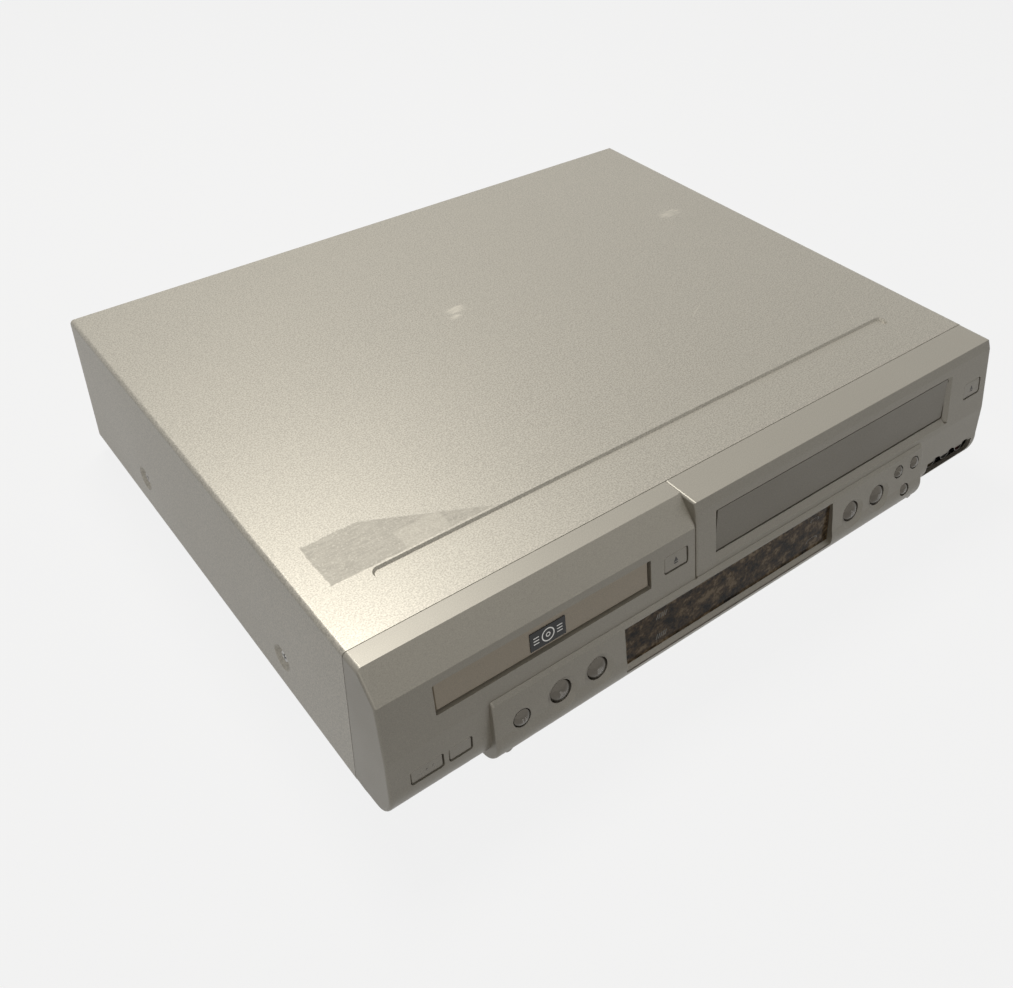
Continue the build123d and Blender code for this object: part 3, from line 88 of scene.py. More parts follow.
class Finish:
    """One surface finish, built up as shader nodes."""

    def __init__(self, name):
        self.material = bpy.data.materials.new(name)
        self.material.use_nodes = True
        self.tree = self.material.node_tree
        self.tree.nodes.clear()
        self.place = self.node("ShaderNodeTexCoord", out="Object")

    def node(self, kind, settings=None, values=None, out=0):
        """Adds a node: its settings first, then the values or links of its inputs."""
        made = self.tree.nodes.new(kind)
        for key, value in (settings or {}).items():
            setattr(made, key, value)
        for key, value in (values or {}).items():
            self.feed(made.inputs[key], value)
        return Wire(self, made.outputs[out]) if len(made.outputs) else None

    def feed(self, socket, value):
        if isinstance(value, Wire):
            self.tree.links.new(value.socket, socket)
        elif isinstance(value, tuple) and socket.type == "RGBA":
            socket.default_value = (*value, 1.0)
        else:
            socket.default_value = value

    def parts(self, vector):
        """The three numbers of a vector; those of self.place are a point's coordinates in metres."""
        split = self.tree.nodes.new("ShaderNodeSeparateXYZ")
        self.feed(split.inputs[0], vector)
        return [Wire(self, output) for output in split.outputs]

    def spread(self, size, stretch, seed):
        """Coordinates counted in grains of a size, drawn out along an axis."""
        scale = tuple(1.0 / (size * part) for part in stretch)
        grown = self.node("ShaderNodeVectorMath", {"operation": "MULTIPLY"}, {0: self.place, 1: scale})
        return self.node("ShaderNodeVectorMath", {"operation": "ADD"}, {0: grown, 1: (seed, seed, seed)})

    def noise(self, size, detail=2.0, stretch=(1.0, 1.0, 1.0), seed=0.0):
        """Cloudy noise from 0 to 1 with grains of about this size in metres."""
        place = self.spread(size, stretch, seed)
        return self.node("ShaderNodeTexNoise", None, {"Vector": place, "Scale": 1.0, "Detail": detail})

    def radius(self, first, second):
        """Distance from an axis, sqrt(a^2 + b^2), for two offsets from it."""
        squares = first * first + second * second
        return self.node("ShaderNodeMath", {"operation": "SQRT"}, {0: squares})

    def cells(self, size, seed, out=0):
        """Random cells of about this size in metres: distance from their points, or their colours."""
        place = self.spread(size, (1.0, 1.0, 1.0), seed)
        return self.node("ShaderNodeTexVoronoi", None, {"Vector": place, "Scale": 1.0}, out=out)

    def mix(self, share, first, second):
        """Colour going from the first to the second as the share goes from 0 to 1."""
        settings = {"data_type": "RGBA", "clamp_factor": True}
        return self.node("ShaderNodeMix", settings, {0: share, 6: first, 7: second}, out=2)

    def close(self, colour, roughness, metallic=0.0, height=None, depth=0.0001, **fixed):
        """Ends the finish in a surface shader; height is a relief from 0 to 1 of this depth in metres."""
        values = {"Base Color": colour, "Roughness": roughness, "Metallic": metallic}
        values.update({key.replace("_", " "): value for key, value in fixed.items()})
        if height is not None:
            values["Normal"] = self.node("ShaderNodeBump", None, {"Height": height, "Distance": depth})
        surface = self.node("ShaderNodeBsdfPrincipled", None, values)
        self.node("ShaderNodeOutputMaterial", None, {"Surface": surface})
        return self.material


def dress(material, *names):
    """Gives CAD nodes this material."""
    for name in names:
        for place in nodes[name].material_slots:
            place.material = material


def shade(colour, factor):
    """The colour made lighter or darker, as plain numbers."""
    return tuple(min(1.0, part * factor) for part in colour)


def flake_paint(name, colour, roughness=0.42, metallic=0.3):
    """Metallic paint: flake grains of 0.5 mm over slow clouds, rubbed duller in drawn-out patches."""
    paint = Finish(name)
    flakes = paint.noise(0.0005, 2.0)
    clouds = paint.noise(0.05, 3.0)
    rubbed = paint.noise(0.012, 4.0, (3.0, 1.0, 1.0), 5.0)
    tone = paint.mix(flakes.above(0.5, 0.4), shade(colour, 0.84), shade(colour, 1.12))
    tone = paint.mix(clouds.above(0.5, 0.8) * 0.35, tone, shade(colour, 0.86))
    rough = flakes * 0.12 + clouds * 0.08 + rubbed * 0.08 + (roughness - 0.14)
    return paint.close(tone, rough, metallic, flakes, 0.00002, Specular_IOR_Level=0.3)


silver = (0.40, 0.375, 0.32)
dress(flake_paint("front_silver_paint", silver), "front_bezel")

# ---------------------------------------------------------------- top cover
# The cover is one folded steel sheet in the same warm silver paint. A torn patch of old label glue
# is left near the front left corner, and a few light scuffs and scratches have gathered on the top.
face_y = -0.1727


def cover_paint():
    """Flake paint with the glue patch, scuffs and scratches laid over it by their places on the top."""
    paint = Finish("cover_silver_paint")
    x, y, z = paint.parts(paint.place)
    depth = y - face_y
    flakes = paint.noise(0.0008, 2.0)
    clouds = paint.noise(0.09, 3.0)
    tone = paint.mix(flakes.above(0.5, 0.3), shade(silver, 0.78), shade(silver, 1.24))
    tone = paint.mix(clouds.above(0.5, 0.8) * 0.3, tone, shade(silver, 0.88))
    # glue patch: a strip with its right end cut off at a slant, and a paler island in it
    ragged = (paint.noise(0.004, 3.0) - 0.5) * 0.002
    slant = (x + ragged + 0.1691) * 0.4383 + (depth - 0.0932) * 0.8989
    patch = (x + ragged).above(-0.1994, 0.0006) * (depth + ragged).within(0.0638, 0.0932, 0.0006)
    patch = patch * slant.below(0.0, 0.0008) * z.above(0.09, 0.001)
    streaks = paint.noise(0.0016, 3.0, (6.0, 1.0, 1.0))
    crumbs = paint.noise(0.0012, 4.0)
    island = (x + ragged).within(-0.159, -0.134, 0.001) * (depth + ragged).within(0.0638, 0.077, 0.001)
    glue = paint.mix(streaks.above(0.5, 0.4), shade(silver, 0.68), shade(silver, 0.9))
    glue = paint.mix(island * crumbs.above(0.5, 0.3), glue, shade(silver, 1.1))
    tone = paint.mix(patch * crumbs.above(0.4, 0.25) * 0.85, tone, glue)
    # scuffs: pale rubbed ovals at three places, streaked across
    rub = 0.0
    for rub_x, rub_depth, reach in ((-0.022, 0.221, 0.007), (-0.027, 0.214, 0.004), (0.173, 0.237, 0.009)):
        far = ((x - rub_x) * (x - rub_x) + (depth - rub_depth) * (depth - rub_depth) * 4.0) / reach ** 2
        rub = far.below(1.0, 0.8) * streaks.above(0.5, 0.3) + rub
    # scratches: thin straight lines across the grain
    for low_x, high_x, start, slope in ((0.090, 0.101, 0.130, 0.55), (0.165, 0.176, 0.068, 1.45)):
        off = (depth - start - (x - low_x) * slope).away()
        rub = x.within(low_x, high_x, 0.001) * off.below(0.0003, 0.0003) * 0.7 + rub
    rub = rub * z.above(0.09, 0.001)
    tone = paint.mix(rub * 0.8, tone, shade(silver, 1.4))
    rough = flakes * 0.12 + clouds * 0.08 + 0.31 + patch * 0.15 + rub * 0.1
    relief = flakes * 0.3 + patch * crumbs * 2.0
    return paint.close(tone, rough, 0.5, relief, 0.00003, Specular_IOR_Level=0.3)


dress(cover_paint(), "top_cover")

# ---------------------------------------------------------------- tray door and cassette flap
# The disc tray's door is a paler, glossier strip than the face round it. The cassette flap is the
# face's own paint, made darker all over as painted shade of the opening it sits back in.
door_champagne = (0.47, 0.41, 0.32)
# painted shade: the flap's colour is the face paint made darker for the shade of the cassette opening
flap_silver_painted_shade = (0.25, 0.23, 0.19)
dress(flake_paint("door_champagne", door_champagne, 0.34, 0.2), "tray_door")
dress(flake_paint("flap_silver_painted_shade", flap_silver_painted_shade), "flap")
dress(flake_paint("bar_silver", shade(silver, 0.94), 0.36), "power_button", "output_button", "open_button",
      "eject_button")

# ---------------------------------------------------------------- plated knobs
# The round knobs are moulded chrome-plated domes; the plating's colour is set nearly black as a painted
# reflection of a dark room. Those for play and stop sit in dished hollows. Handling has left hazy clouds
# and hair-fine scratches on the plating.


def plated(name, colour, roughness=0.2, drawn=(1.0, 1.0, 1.0), grain=0.001, metallic=1.0):
    """Metal: brushed or rolled streaks along one axis, and dull clouds where hands have been."""
    metal = Finish(name)
    lines = metal.noise(grain, 3.0, drawn)
    slow = metal.noise(0.015, 3.0, (1.0, 1.0, 1.0), 7.0)
    tone = metal.mix(lines, shade(colour, 0.82), shade(colour, 1.12))
    tone = metal.mix(slow.above(0.6, 0.3) * 0.4, tone, shade(colour, 0.75))
    return metal.close(tone, lines * 0.12 + slow * 0.12 + (roughness - 0.08), metallic, lines, 0.00001)


# painted reflection: the plating colour is set near black to stand in for a dark room reflected in it
dress(plated("knob_plating_painted_reflection", (0.11, 0.10, 0.085), 0.13), "pause_button", "disc_play_button",
      "disc_stop_button", "tape_play_button", "tape_stop_button", "channel_down_button",
      "channel_up_button", "record_button")

# ---------------------------------------------------------------- symbols on the buttons
# Each knob carries the usual symbol for what it does, raised a little and filled with pale ink.
# The two square eject buttons have theirs in dark ink, and the power bar has three small pips.
lean = radians(9.23)      # the face and the control panel lean back by this
low_lean = radians(4.0)   # the face below its crease
ink_rise = 0.00012


def skin(name, grids, material, body, ring=False):
    """One piece made of several skins. Each grid is points[i][j], with j running round the form and
    i along it; its two ends are closed by flat faces, or joined to each other on a ring."""
    points, faces = [], []
    for grid in grids:
        rows, columns = grid.shape[:2]
        start = len(points)
        points += grid.reshape(-1, 3).tolist()
        i, j = np.meshgrid(np.arange(rows if ring else rows - 1), np.arange(columns), indexing="ij")
        beside, above = (j + 1) % columns, (i + 1) % rows
        quads = [i * columns + j, i * columns + beside, above * columns + beside, above * columns + j]
        faces += (np.stack(quads, axis=-1).reshape(-1, 4) + start).tolist()
        if not ring:
            faces.append([start + k for k in range(columns)])
            faces.append([start + (rows - 1) * columns + k for k in range(columns)])
    mesh = bpy.data.meshes.new(name)
    mesh.from_pydata(points, [], faces)
    shell = bmesh.new()
    shell.from_mesh(mesh)
    bmesh.ops.recalc_face_normals(shell, faces=shell.faces)
    shell.to_mesh(mesh)
    shell.free()
    mesh.polygons.foreach_set("use_smooth", np.ones(len(mesh.polygons), dtype=bool))
    mesh.set_sharp_from_angle(angle=radians(40))
    mesh.materials.append(material)
    piece = bpy.data.objects.new(name, mesh)
    bpy.context.scene.collection.objects.link(piece)
    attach(piece, body)
    return piece


def rounded(corners, radius, steps=5):
    """Outline of a polygon, each corner b turned into the curve (1-t)^2 p + 2t(1-t) b + t^2 q."""
    corners = np.array(corners, dtype=float)
    t = np.linspace(0.0, 1.0, steps)[:, None]
    outline = []
    for k, corner in enumerate(corners):
        before, after = corners[k - 1] - corner, corners[(k + 1) % len(corners)] - corner
        p = corner + before * radius / np.linalg.norm(before)
        q = corner + after * radius / np.linalg.norm(after)
        outline.append((1 - t) ** 2 * p + 2 * t * (1 - t) * corner + t ** 2 * q)
    return np.concatenate(outline)


def circle(radius, count=28):
    """Points (r cos a, r sin a) round a circle."""
    a = np.linspace(0.0, 2 * pi, count, endpoint=False)
    return radius * np.stack([np.cos(a), np.sin(a)], axis=-1)


def leaning(tilt):
    """Unit directions of a face that leans back by tilt: across it, up it and out of it."""
    return (np.array((1.0, 0.0, 0.0)), np.array((0.0, sin(tilt), cos(tilt))),
            np.array((0.0, -cos(tilt), sin(tilt))))


def raised(outline, base, tilt, rise, sphere=0.0):
    """Low relief on a plane that leans back by tilt, as rings of the outline shrunk to its middle:
    height = rise + sqrt(R^2 - r^2) - R, where R is the radius of the dome below it, if there is one."""
    across, upward, out = leaning(tilt)
    middle = outline.mean(axis=0)
    rings = []
    foot = -0.0003
    for share, height in ((1.0, foot), (1.0, rise * 0.6), (0.93, rise), (0.6, rise), (0.3, rise),
                          (0.03, rise)):
        flat = middle + (outline - middle) * share
        crown = np.zeros(len(flat))
        if sphere:
            crown = np.sqrt(sphere ** 2 - (flat ** 2).sum(axis=1)) - sphere
        lifted = (height + crown)[:, None] * out
        rings.append(base + flat[:, :1] * across + flat[:, 1:] * upward + lifted)
    return np.array(rings)


def on_face(x, depth, z):
    """A point given by its distance across, its depth behind the front plane and its height, in mm."""
    return np.array((x / 1000, face_y + depth / 1000, z / 1000))


def ink(name, colour, roughness=0.4):
    """Printed ink: an even colour with fine pinholes and a slow change of cover."""
    print_coat = Finish(name)
    holes = print_coat.noise(0.0003, 2.0)
    cover = print_coat.noise(0.004, 2.0)
    tone = print_coat.mix(holes.above(0.62, 0.2) * 0.5 + cover * 0.2, colour, shade(colour, 0.7))
    return print_coat.close(tone, holes * 0.15 + (roughness - 0.07), 0.0, holes, 0.00001)


pale_ink = ink("pale_ink", (0.72, 0.70, 0.65))
dark_ink = ink("dark_ink", (0.035, 0.03, 0.025))
triangle = np.array([(-0.5, -0.58), (0.62, 0.0), (-0.5, 0.58)])
turn_up = np.array([(0.0, -1.0), (1.0, 0.0)])
square = np.array([(-0.5, -0.5), (0.5, -0.5), (0.5, 0.5), (-0.5, 0.5)])
tall_bar = np.array([(-0.14, -0.5), (0.14, -0.5), (0.14, 0.5), (-0.14, 0.5)])
# body, x, depth and height of the face there, dome width, dome rise, how far it is sunk, symbol, its size
knobs = [
    ("pause_button", -145.5, -6.183, 37.3, 9.2, 2.024, 0.2, "bars", 2.6),
    ("disc_play_button", -121.5, -6.183, 37.3, 11.8, 2.4, 1.8, "right", 3.6),
    ("disc_stop_button", -98.8, -6.183, 37.3, 11.8, 2.4, 1.8, "square", 3.0),
    ("tape_play_button", 88.9, -6.183, 37.3, 11.8, 2.4, 1.8, "right", 3.6),
    ("tape_stop_button", 112.0, -6.183, 37.3, 11.8, 2.4, 1.8, "square", 3.0),
    ("channel_down_button", 129.6, -4.713, 45.4, 7.2, 1.584, 0.2, "down", 2.4),
    ("channel_up_button", 144.2, -4.713, 45.4, 7.2, 1.584, 0.2, "up", 2.4),
    ("record_button", 136.0, -7.033, 30.6, 7.2, 1.584, 0.2, "dot", 2.2),
]
for body, x, depth, z, width, rise, sunk, symbol, size in knobs:
    outlines = {
        "bars": [rounded(tall_bar + (-0.3, 0), 0.1), rounded(tall_bar + (0.3, 0), 0.1)],
        "right": [rounded(triangle, 0.12)],
        "square": [rounded(square, 0.12)],
        "up": [rounded(triangle @ turn_up.T, 0.12)],
        "down": [rounded(-triangle @ turn_up.T, 0.12)],
        "dot": [circle(0.5)],
    }[symbol]
    sphere = (width ** 2 / 4 + rise ** 2) / (2 * rise) / 1000
    apex = on_face(x, depth, z) + leaning(lean)[2] * (rise - sunk) / 1000
    grids = [raised(outline * size / 1000, apex, lean, ink_rise, sphere) for outline in outlines]
    skin(body.replace("_button", "_symbol"), grids, pale_ink, body)

cap_sink = 0.0003         # the flat buttons' faces lie this far below the front round them
flat_rise = 0.00005
for body, x, depth, z in (("open_button", -44.9, 1.904, 72.1), ("eject_button", 198.7, 1.774, 71.3)):
    middle = on_face(x, depth, z) - leaning(lean)[2] * cap_sink
    arrow = rounded(triangle @ turn_up.T * 2.6 + (0, 0.6), 0.15) / 1000
    dash = rounded(square * (2.6, 0.7) + (0, -1.5), 0.15) / 1000
    grids = [raised(outline, middle, lean, flat_rise) for outline in (arrow, dash)]
    skin(body.replace("_button", "_symbol"), grids, dark_ink, body)
middle = on_face(-195.0, -2.356, 36.1) - leaning(low_lean)[2] * cap_sink
pip_r, pip_apart, pip_rise = 0.00055, 0.0034, 0.0002
pips = [raised(circle(pip_r) + (step * pip_apart, 0.0), middle, low_lean, pip_rise) for step in (-1, 0, 1)]
skin("power_pips", pips, pale_ink, "power_button")

# ---------------------------------------------------------------- plaque on the tray door
# A thin black gloss plate stuck to the middle of the door, with a plain disc sign in silver foil:
# two rings, and three short lines at either side.


def polished(name, colour, roughness=0.14):
    """Gloss plastic: hair-fine wiping marks in two directions and a film of dust."""
    gloss = Finish(name)
    wipes = gloss.noise(0.0006, 2.0, (14.0, 1.0, 1.0)) * gloss.noise(0.0006, 2.0, (1.0, 1.0, 9.0), 3.0)
    film = gloss.noise(0.006, 4.0, (1.0, 1.0, 1.0), 9.0)
    tone = gloss.mix(film.above(0.55, 0.5) * 0.5, colour, tuple(part + 0.012 for part in colour))
    return gloss.close(tone, wipes * 0.2 + film * 0.12 + (roughness - 0.06), 0.0, wipes, 0.000005,
                       Specular_IOR_Level=0.35)


def band(middle, tilt, inner, outer, rise, count=48):
    """Flat ring: a small closed section (r, h) carried round a circle on a plane that leans back."""
    section = [(inner, -0.0002), (inner, rise), (outer, rise), (outer, -0.0002)]
    across, upward, out = leaning(tilt)
    round_points = circle(1.0, count)
    return np.array([middle + radius * (round_points[:, :1] * across + round_points[:, 1:] * upward)
                     + height * out for radius, height in section])


dress(polished("plaque_black", (0.008, 0.008, 0.008)), "door_plaque")
foil = plated("plaque_foil", (0.55, 0.54, 0.51), 0.25)
disc_x = -124.55          # the tray, the turntable and the pickup share this middle line
plaque_sheet = 0.00035
plaque_middle = on_face(disc_x, 3.1025, 71.6) + leaning(lean)[2] * plaque_sheet
rings = [band(plaque_middle, lean, inner, outer, flat_rise)
         for inner, outer in ((0.0031, 0.0037), (0.0008, 0.0013))]
skin("plaque_rings", rings, foil, "tray", ring=True)
lines = []
for side in (-1, 1):
    for row in (-1, 0, 1):
        outline = rounded(square * (3.2, 0.5) + (side * 6.8, row * 1.7), 0.12) / 1000
        lines.append(raised(outline, plaque_middle, lean, flat_rise))
skin("plaque_lines", lines, foil, "tray")

# ---------------------------------------------------------------- display window
# The window is smoked mirror plastic, nearly black; a dim brown mottle, a painted reflection of the room,
# is laid into its colour.
# Pale indicator marks are printed on it: slanted strokes at the left and two outlines at the right.


def smoked_mirror_painted_reflection():
    """Dark gloss with a painted reflection in its colour: large curled brown clouds of two sizes broken up
    by fine specks.
    """
    glass = Finish("smoked_mirror_painted_reflection")
    bend = glass.noise(0.016, 3.0)
    curls = glass.noise(0.005, 5.0, (1.3, 1.0, 1.0), 3.0)
    specks = glass.noise(0.0016, 3.0, (1.0, 1.0, 1.0), 6.0)
    share = curls * 0.55 + bend * 0.25 + specks * 0.3
    # painted reflection: the brown and pale clouds below stand in for the room reflected in the window
    tone = glass.mix(share.above(0.54, 0.2), (0.012, 0.008, 0.005), (0.24, 0.165, 0.09))
    tone = glass.mix(share.above(0.62, 0.08) * 0.7, tone, (0.50, 0.39, 0.26))
    return glass.close(tone, curls * 0.1 + 0.1, 0.0, None, Specular_IOR_Level=0.08)


dress(smoked_mirror_painted_reflection(), "display_window")
window_lean = radians(6.63)


def on_window(x, z):
    """A point on the window's face, whose depth runs from -4.9 at height 25.6 to -1.9 at 51.4."""
    return on_face(x, -4.9 + 3.0 * (z - 25.6) / 25.8, z)


window_ink = ink("window_ink", (0.30, 0.28, 0.24))
print_rise = 0.00003
slanted = np.array([(-0.45, -1.6), (0.25, -1.6), (1.25, 1.6), (0.55, 1.6)])
stroke_pitch = 1.5
marks = []
for row_z in (44.6, 31.6):
    for step in range(5):
        stroke = slanted + ((step - 2) * stroke_pitch, 0.0)
        marks.append(raised(rounded(stroke, 0.1) / 1000, on_window(-56.0, row_z), window_lean, print_rise))
skin("window_strokes", marks, window_ink, "cabinet")
loops = []
for x, z, wide, tall in ((59.0, 45.2, 3.6, 1.5), (58.0, 32.0, 4.6, 2.0)):
    middle = on_window(x, z)
    loop = band(middle, window_lean, 0.00084, 0.001, print_rise)
    loops.append(middle + (loop - middle) * (wide, 1.0, tall))
skin("window_loops", loops, window_ink, "cabinet", ring=True)
dress(polished("module_black", (0.015, 0.015, 0.018), 0.2), "display_module")

# ---------------------------------------------------------------- sockets
# The front inputs sit in a black recess: their coloured plastic and nickel shells are darker copies of the
# rear ones, painted shade of the recess. At the back the same three sockets are bright yellow, white and
# red, as a user matches them by colour.


def moulded(name, colour, roughness=0.5, grain=0.0004):
    """Moulded plastic: spark-eroded grain, faint flow lines and a slow change of gloss."""
    plastic = Finish(name)
    pits = plastic.noise(grain, 2.0)
    flow = plastic.noise(0.008, 3.0, (1.0, 4.0, 1.0), 3.0)
    slow = plastic.noise(0.02, 3.0, (1.0, 1.0, 1.0), 7.0)
    tone = plastic.mix(flow, shade(colour, 0.86), shade(colour, 1.12))
    tone = plastic.mix(pits.above(0.6, 0.3) * 0.3, tone, tuple(part + 0.01 for part in shade(colour, 1.15)))
    return plastic.close(tone, pits * 0.16 + slow * 0.1 + (roughness - 0.13), 0.0, pits, 0.00003,
                         Specular_IOR_Level=0.35)


dress(moulded("socket_black_plastic", (0.016, 0.015, 0.014), 0.42), "socket_block", "rear_block")
# painted shade: the front shells and socket colours are darker copies of the rear ones, for the shade of
# the recess
dress(plated("front_nickel_painted_shade", (0.16, 0.15, 0.14), 0.3), "front_shells")
dress(plated("socket_nickel", (0.62, 0.60, 0.56), 0.24), "rear_shells")
dress(moulded("front_yellow_painted_shade", (0.30, 0.20, 0.02), 0.35), "front_socket_yellow")
dress(moulded("front_white_painted_shade", (0.34, 0.33, 0.31), 0.35), "front_socket_white")
dress(moulded("front_red_painted_shade", (0.22, 0.02, 0.02), 0.35), "front_socket_red")
dress(moulded("rear_yellow", (0.72, 0.50, 0.03), 0.35), "rear_socket_yellow")
dress(moulded("rear_white", (0.74, 0.73, 0.70), 0.35), "rear_socket_white")
dress(moulded("rear_red", (0.52, 0.03, 0.03), 0.35), "rear_socket_red")

# ---------------------------------------------------------------- sheet steel
# Pan, rear panel, deck and basket are zinc-coated steel. The coating has frozen in flat crystals of
# a few millimetres, each a little lighter or darker, and the sheets carry rolling lines along them.


def spangled(name, colour, crystal, roughness=0.4):
    """Zinc crystals as random cells, rolling lines along y, and white bloom in slow clouds."""
    zinc = Finish(name)
    grey = zinc.parts(zinc.cells(crystal, 2.0, out=1))[0]
    rolled = zinc.noise(0.0008, 2.0, (1.0, 30.0, 1.0), 5.0)
    bloom = zinc.noise(0.02, 4.0, (1.0, 1.0, 1.0), 8.0)
    tone = zinc.mix(grey, shade(colour, 0.84), shade(colour, 1.12))
    tone = zinc.mix(rolled.above(0.5, 0.5) * 0.35, tone, shade(colour, 0.9))
    tone = zinc.mix(bloom.above(0.58, 0.25) * 0.3, tone, shade(colour, 1.2))
    rough = grey * 0.14 + rolled * 0.06 + bloom * 0.1 + (roughness - 0.14)
    return zinc.close(tone, rough, 0.85, rolled, 0.00001)


dress(spangled("pan_zinc", (0.50, 0.51, 0.50), 0.006), "chassis_pan")
dress(spangled("panel_zinc", (0.56, 0.57, 0.56), 0.005), "rear_panel")
dress(spangled("deck_zinc", (0.58, 0.58, 0.56), 0.004), "deck_plate")
dress(spangled("basket_zinc", (0.52, 0.52, 0.51), 0.003, 0.34), "cassette_basket")

# ---------------------------------------------------------------- feet, screws and rear fittings
# Black moulded feet stand on rubber pads. Plated screws hold the cover at its sides, and pan-head
# screws with a cross recess hold the rear panel. Both aerial sockets have a screw thread.
dress(moulded("foot_plastic", (0.022, 0.022, 0.022), 0.5, 0.0008), "feet")
dress(moulded("pad_rubber", (0.016, 0.016, 0.016), 0.78, 0.0006), "foot_pads")
dress(plated("screw_steel", (0.46, 0.45, 0.43), 0.3, (1.0, 1.0, 1.0), 0.0004), "cover_screws")
dress(plated("tuner_tin", (0.60, 0.60, 0.57), 0.3, (1.0, 8.0, 1.0)), "tuner_box")
dress(moulded("bushing_black", (0.02, 0.02, 0.02), 0.55), "cord_bushing")


def thread(x, z, depth, length, radius, pitch, rise, steps=24):
    """Screw thread: a triangle section carried along (r cos a, p a / 2 pi, r sin a), faded at its ends."""
    turns = length / pitch
    a = np.linspace(0.0, 2 * pi * turns, int(steps * turns) + 1)
    fade = np.clip(np.minimum(a, a[-1] - a) / 1.2, 0.02, 1.0)
    rows = []
    for reach, along in ((-0.15, -0.34), (rise, 0.0), (-0.15, 0.34)):
        r = radius + np.where(reach > 0, reach * fade, reach)
        y = depth + pitch * a / (2 * pi) + along * pitch * np.where(reach > 0, 1.0, fade)
        rows.append(np.stack([x + r * np.cos(a), 1000 * face_y + y, z + r * np.sin(a)], axis=-1))
    return np.array(rows).transpose(1, 0, 2) / 1000


tuner_x = 150.0
threads = [thread(tuner_x, z, 347.6, 5.6, 4.7, 0.8, 0.25) for z in (40.0, 62.0)]
skin("aerial_threads", threads, bpy.data.materials["tuner_tin"], "cabinet")


def crossed_head(x, z, depth, radius=2.9, rise=1.5, count=48):
    """Pan head facing back, with height rise (1 - (r/R)^3), and a cross sunk where |u| or |v| is small."""
    a = np.linspace(0.0, 2 * pi, count, endpoint=False)
    rows = [np.stack([x + radius * np.cos(a), np.full(count, 1000 * face_y + depth - 0.2),
                      z + radius * np.sin(a)], axis=-1)]
    for share in (1.0, 0.97, 0.9, 0.8, 0.7, 0.6, 0.52, 0.46, 0.4, 0.3, 0.2, 0.1, 0.02):
        u, v = radius * share * np.cos(a), radius * share * np.sin(a)
        arm = np.minimum(np.abs(u), np.abs(v))
        sunk = np.clip((0.42 - arm) / 0.12, 0.0, 1.0) * np.clip((1.8 - np.hypot(u, v)) / 0.3, 0.0, 1.0)
        height = rise * (1 - share ** 3) * 0.75 + rise * 0.25 * (share < 0.99) - sunk * 0.8
        rows.append(np.stack([x + u, 1000 * face_y + depth + height, z + v], axis=-1))
    return np.array(rows) / 1000


panel_depth = 345.1
head_spots = ((-196.0, 84.0), (-20.0, 84.0), (118.0, 84.0), (196.0, 24.0), (-120.0, 22.0), (60.0, 22.0),
              (165.0, 51.0))
heads = [crossed_head(x, z, panel_depth) for x, z in head_spots]
skin("panel_screws", heads, plated("panel_screw_zinc", (0.62, 0.61, 0.56), 0.26, (1.0, 1.0, 1.0), 0.0004),
     "cabinet")

# ---------------------------------------------------------------- circuit boards
# The boards are tan paper laminate. Copper tracks under the lacquer show as darker straight lines
# on a fine grid, and the parts on them are black cases with a dull grain.


def laminate(name, colour):
    """Paper laminate with fibres, and tracks where a coarse noise, cut into steps, crosses a level."""
    board = Finish(name)
    x, y = board.parts(board.place)[:2]
    fibres = board.noise(0.0012, 3.0, (1.0, 5.0, 1.0))
    region = board.noise(0.012, 1.0, (1.0, 1.0, 1.0), 4.0)
    track_pitch = 0.0025
    lines_x = ((x % track_pitch) - track_pitch / 2).away().below(0.0005, 0.0002)
    lines_y = ((y % track_pitch) - track_pitch / 2).away().below(0.0005, 0.0002)
    tracks = lines_x * region.above(0.52, 0.02) + lines_y * region.below(0.46, 0.02)
    pads = board.cells(0.005, 2.0).below(0.16, 0.04)
    tone = board.mix(fibres, shade(colour, 0.85), shade(colour, 1.1))
    tone = board.mix(tracks * 0.75, tone, shade(colour, 0.55))
    tone = board.mix(pads, tone, (0.55, 0.55, 0.52))
    return board.close(tone, fibres * 0.15 + pads * -0.1 + 0.38, 0.0, tracks, 0.00003)


dress(laminate("board_resin", (0.36, 0.25, 0.12)), "main_board", "power_board", "front_board")
dress(moulded("parts_black", (0.025, 0.025, 0.028), 0.45, 0.0003), "main_parts")
dress(moulded("power_parts_black", (0.035, 0.03, 0.028), 0.5, 0.0006), "power_parts")

# ---------------------------------------------------------------- disc loader and tray
# The loader and the tray are dark moulded plastic, the clamp and the gear are bare white plastic,
# and the pickup is a grey casting that runs on ground steel rods.
dress(moulded("loader_plastic", (0.045, 0.045, 0.047), 0.55, 0.0007), "loader_frame")
dress(spangled("bridge_zinc", (0.54, 0.54, 0.52), 0.003), "clamp_bridge")
dress(moulded("tray_plastic", (0.05, 0.05, 0.054), 0.42, 0.0005), "disc_tray")
dress(moulded("turntable_plastic", (0.035, 0.035, 0.035), 0.5), "turntable")
dress(moulded("clamp_plastic", (0.62, 0.61, 0.57), 0.42), "disc_clamp")
dress(moulded("gear_white", (0.70, 0.68, 0.61), 0.4), "tray_gear")
dress(plated("rod_steel", (0.66, 0.66, 0.65), 0.14, (1.0, 12.0, 1.0), 0.0003), "pickup_rods")
dress(plated("motor_can", (0.56, 0.56, 0.53), 0.3, (1.0, 1.0, 6.0)), "spindle_motor")
dress(plated("pickup_casting", (0.42, 0.42, 0.43), 0.45, (1.0, 1.0, 1.0), 0.0006), "pickup")


def turned(x, depth, profile, count=48):
    """Form of revolution about an upright line: each (r, z) of a profile carried round a circle."""
    a = np.linspace(0.0, 2 * pi, count, endpoint=False)
    return np.array([np.stack([x + r * np.cos(a), 1000 * face_y + depth + r * np.sin(a),
                               np.full(count, z)], axis=-1) for r, z in profile]) / 1000


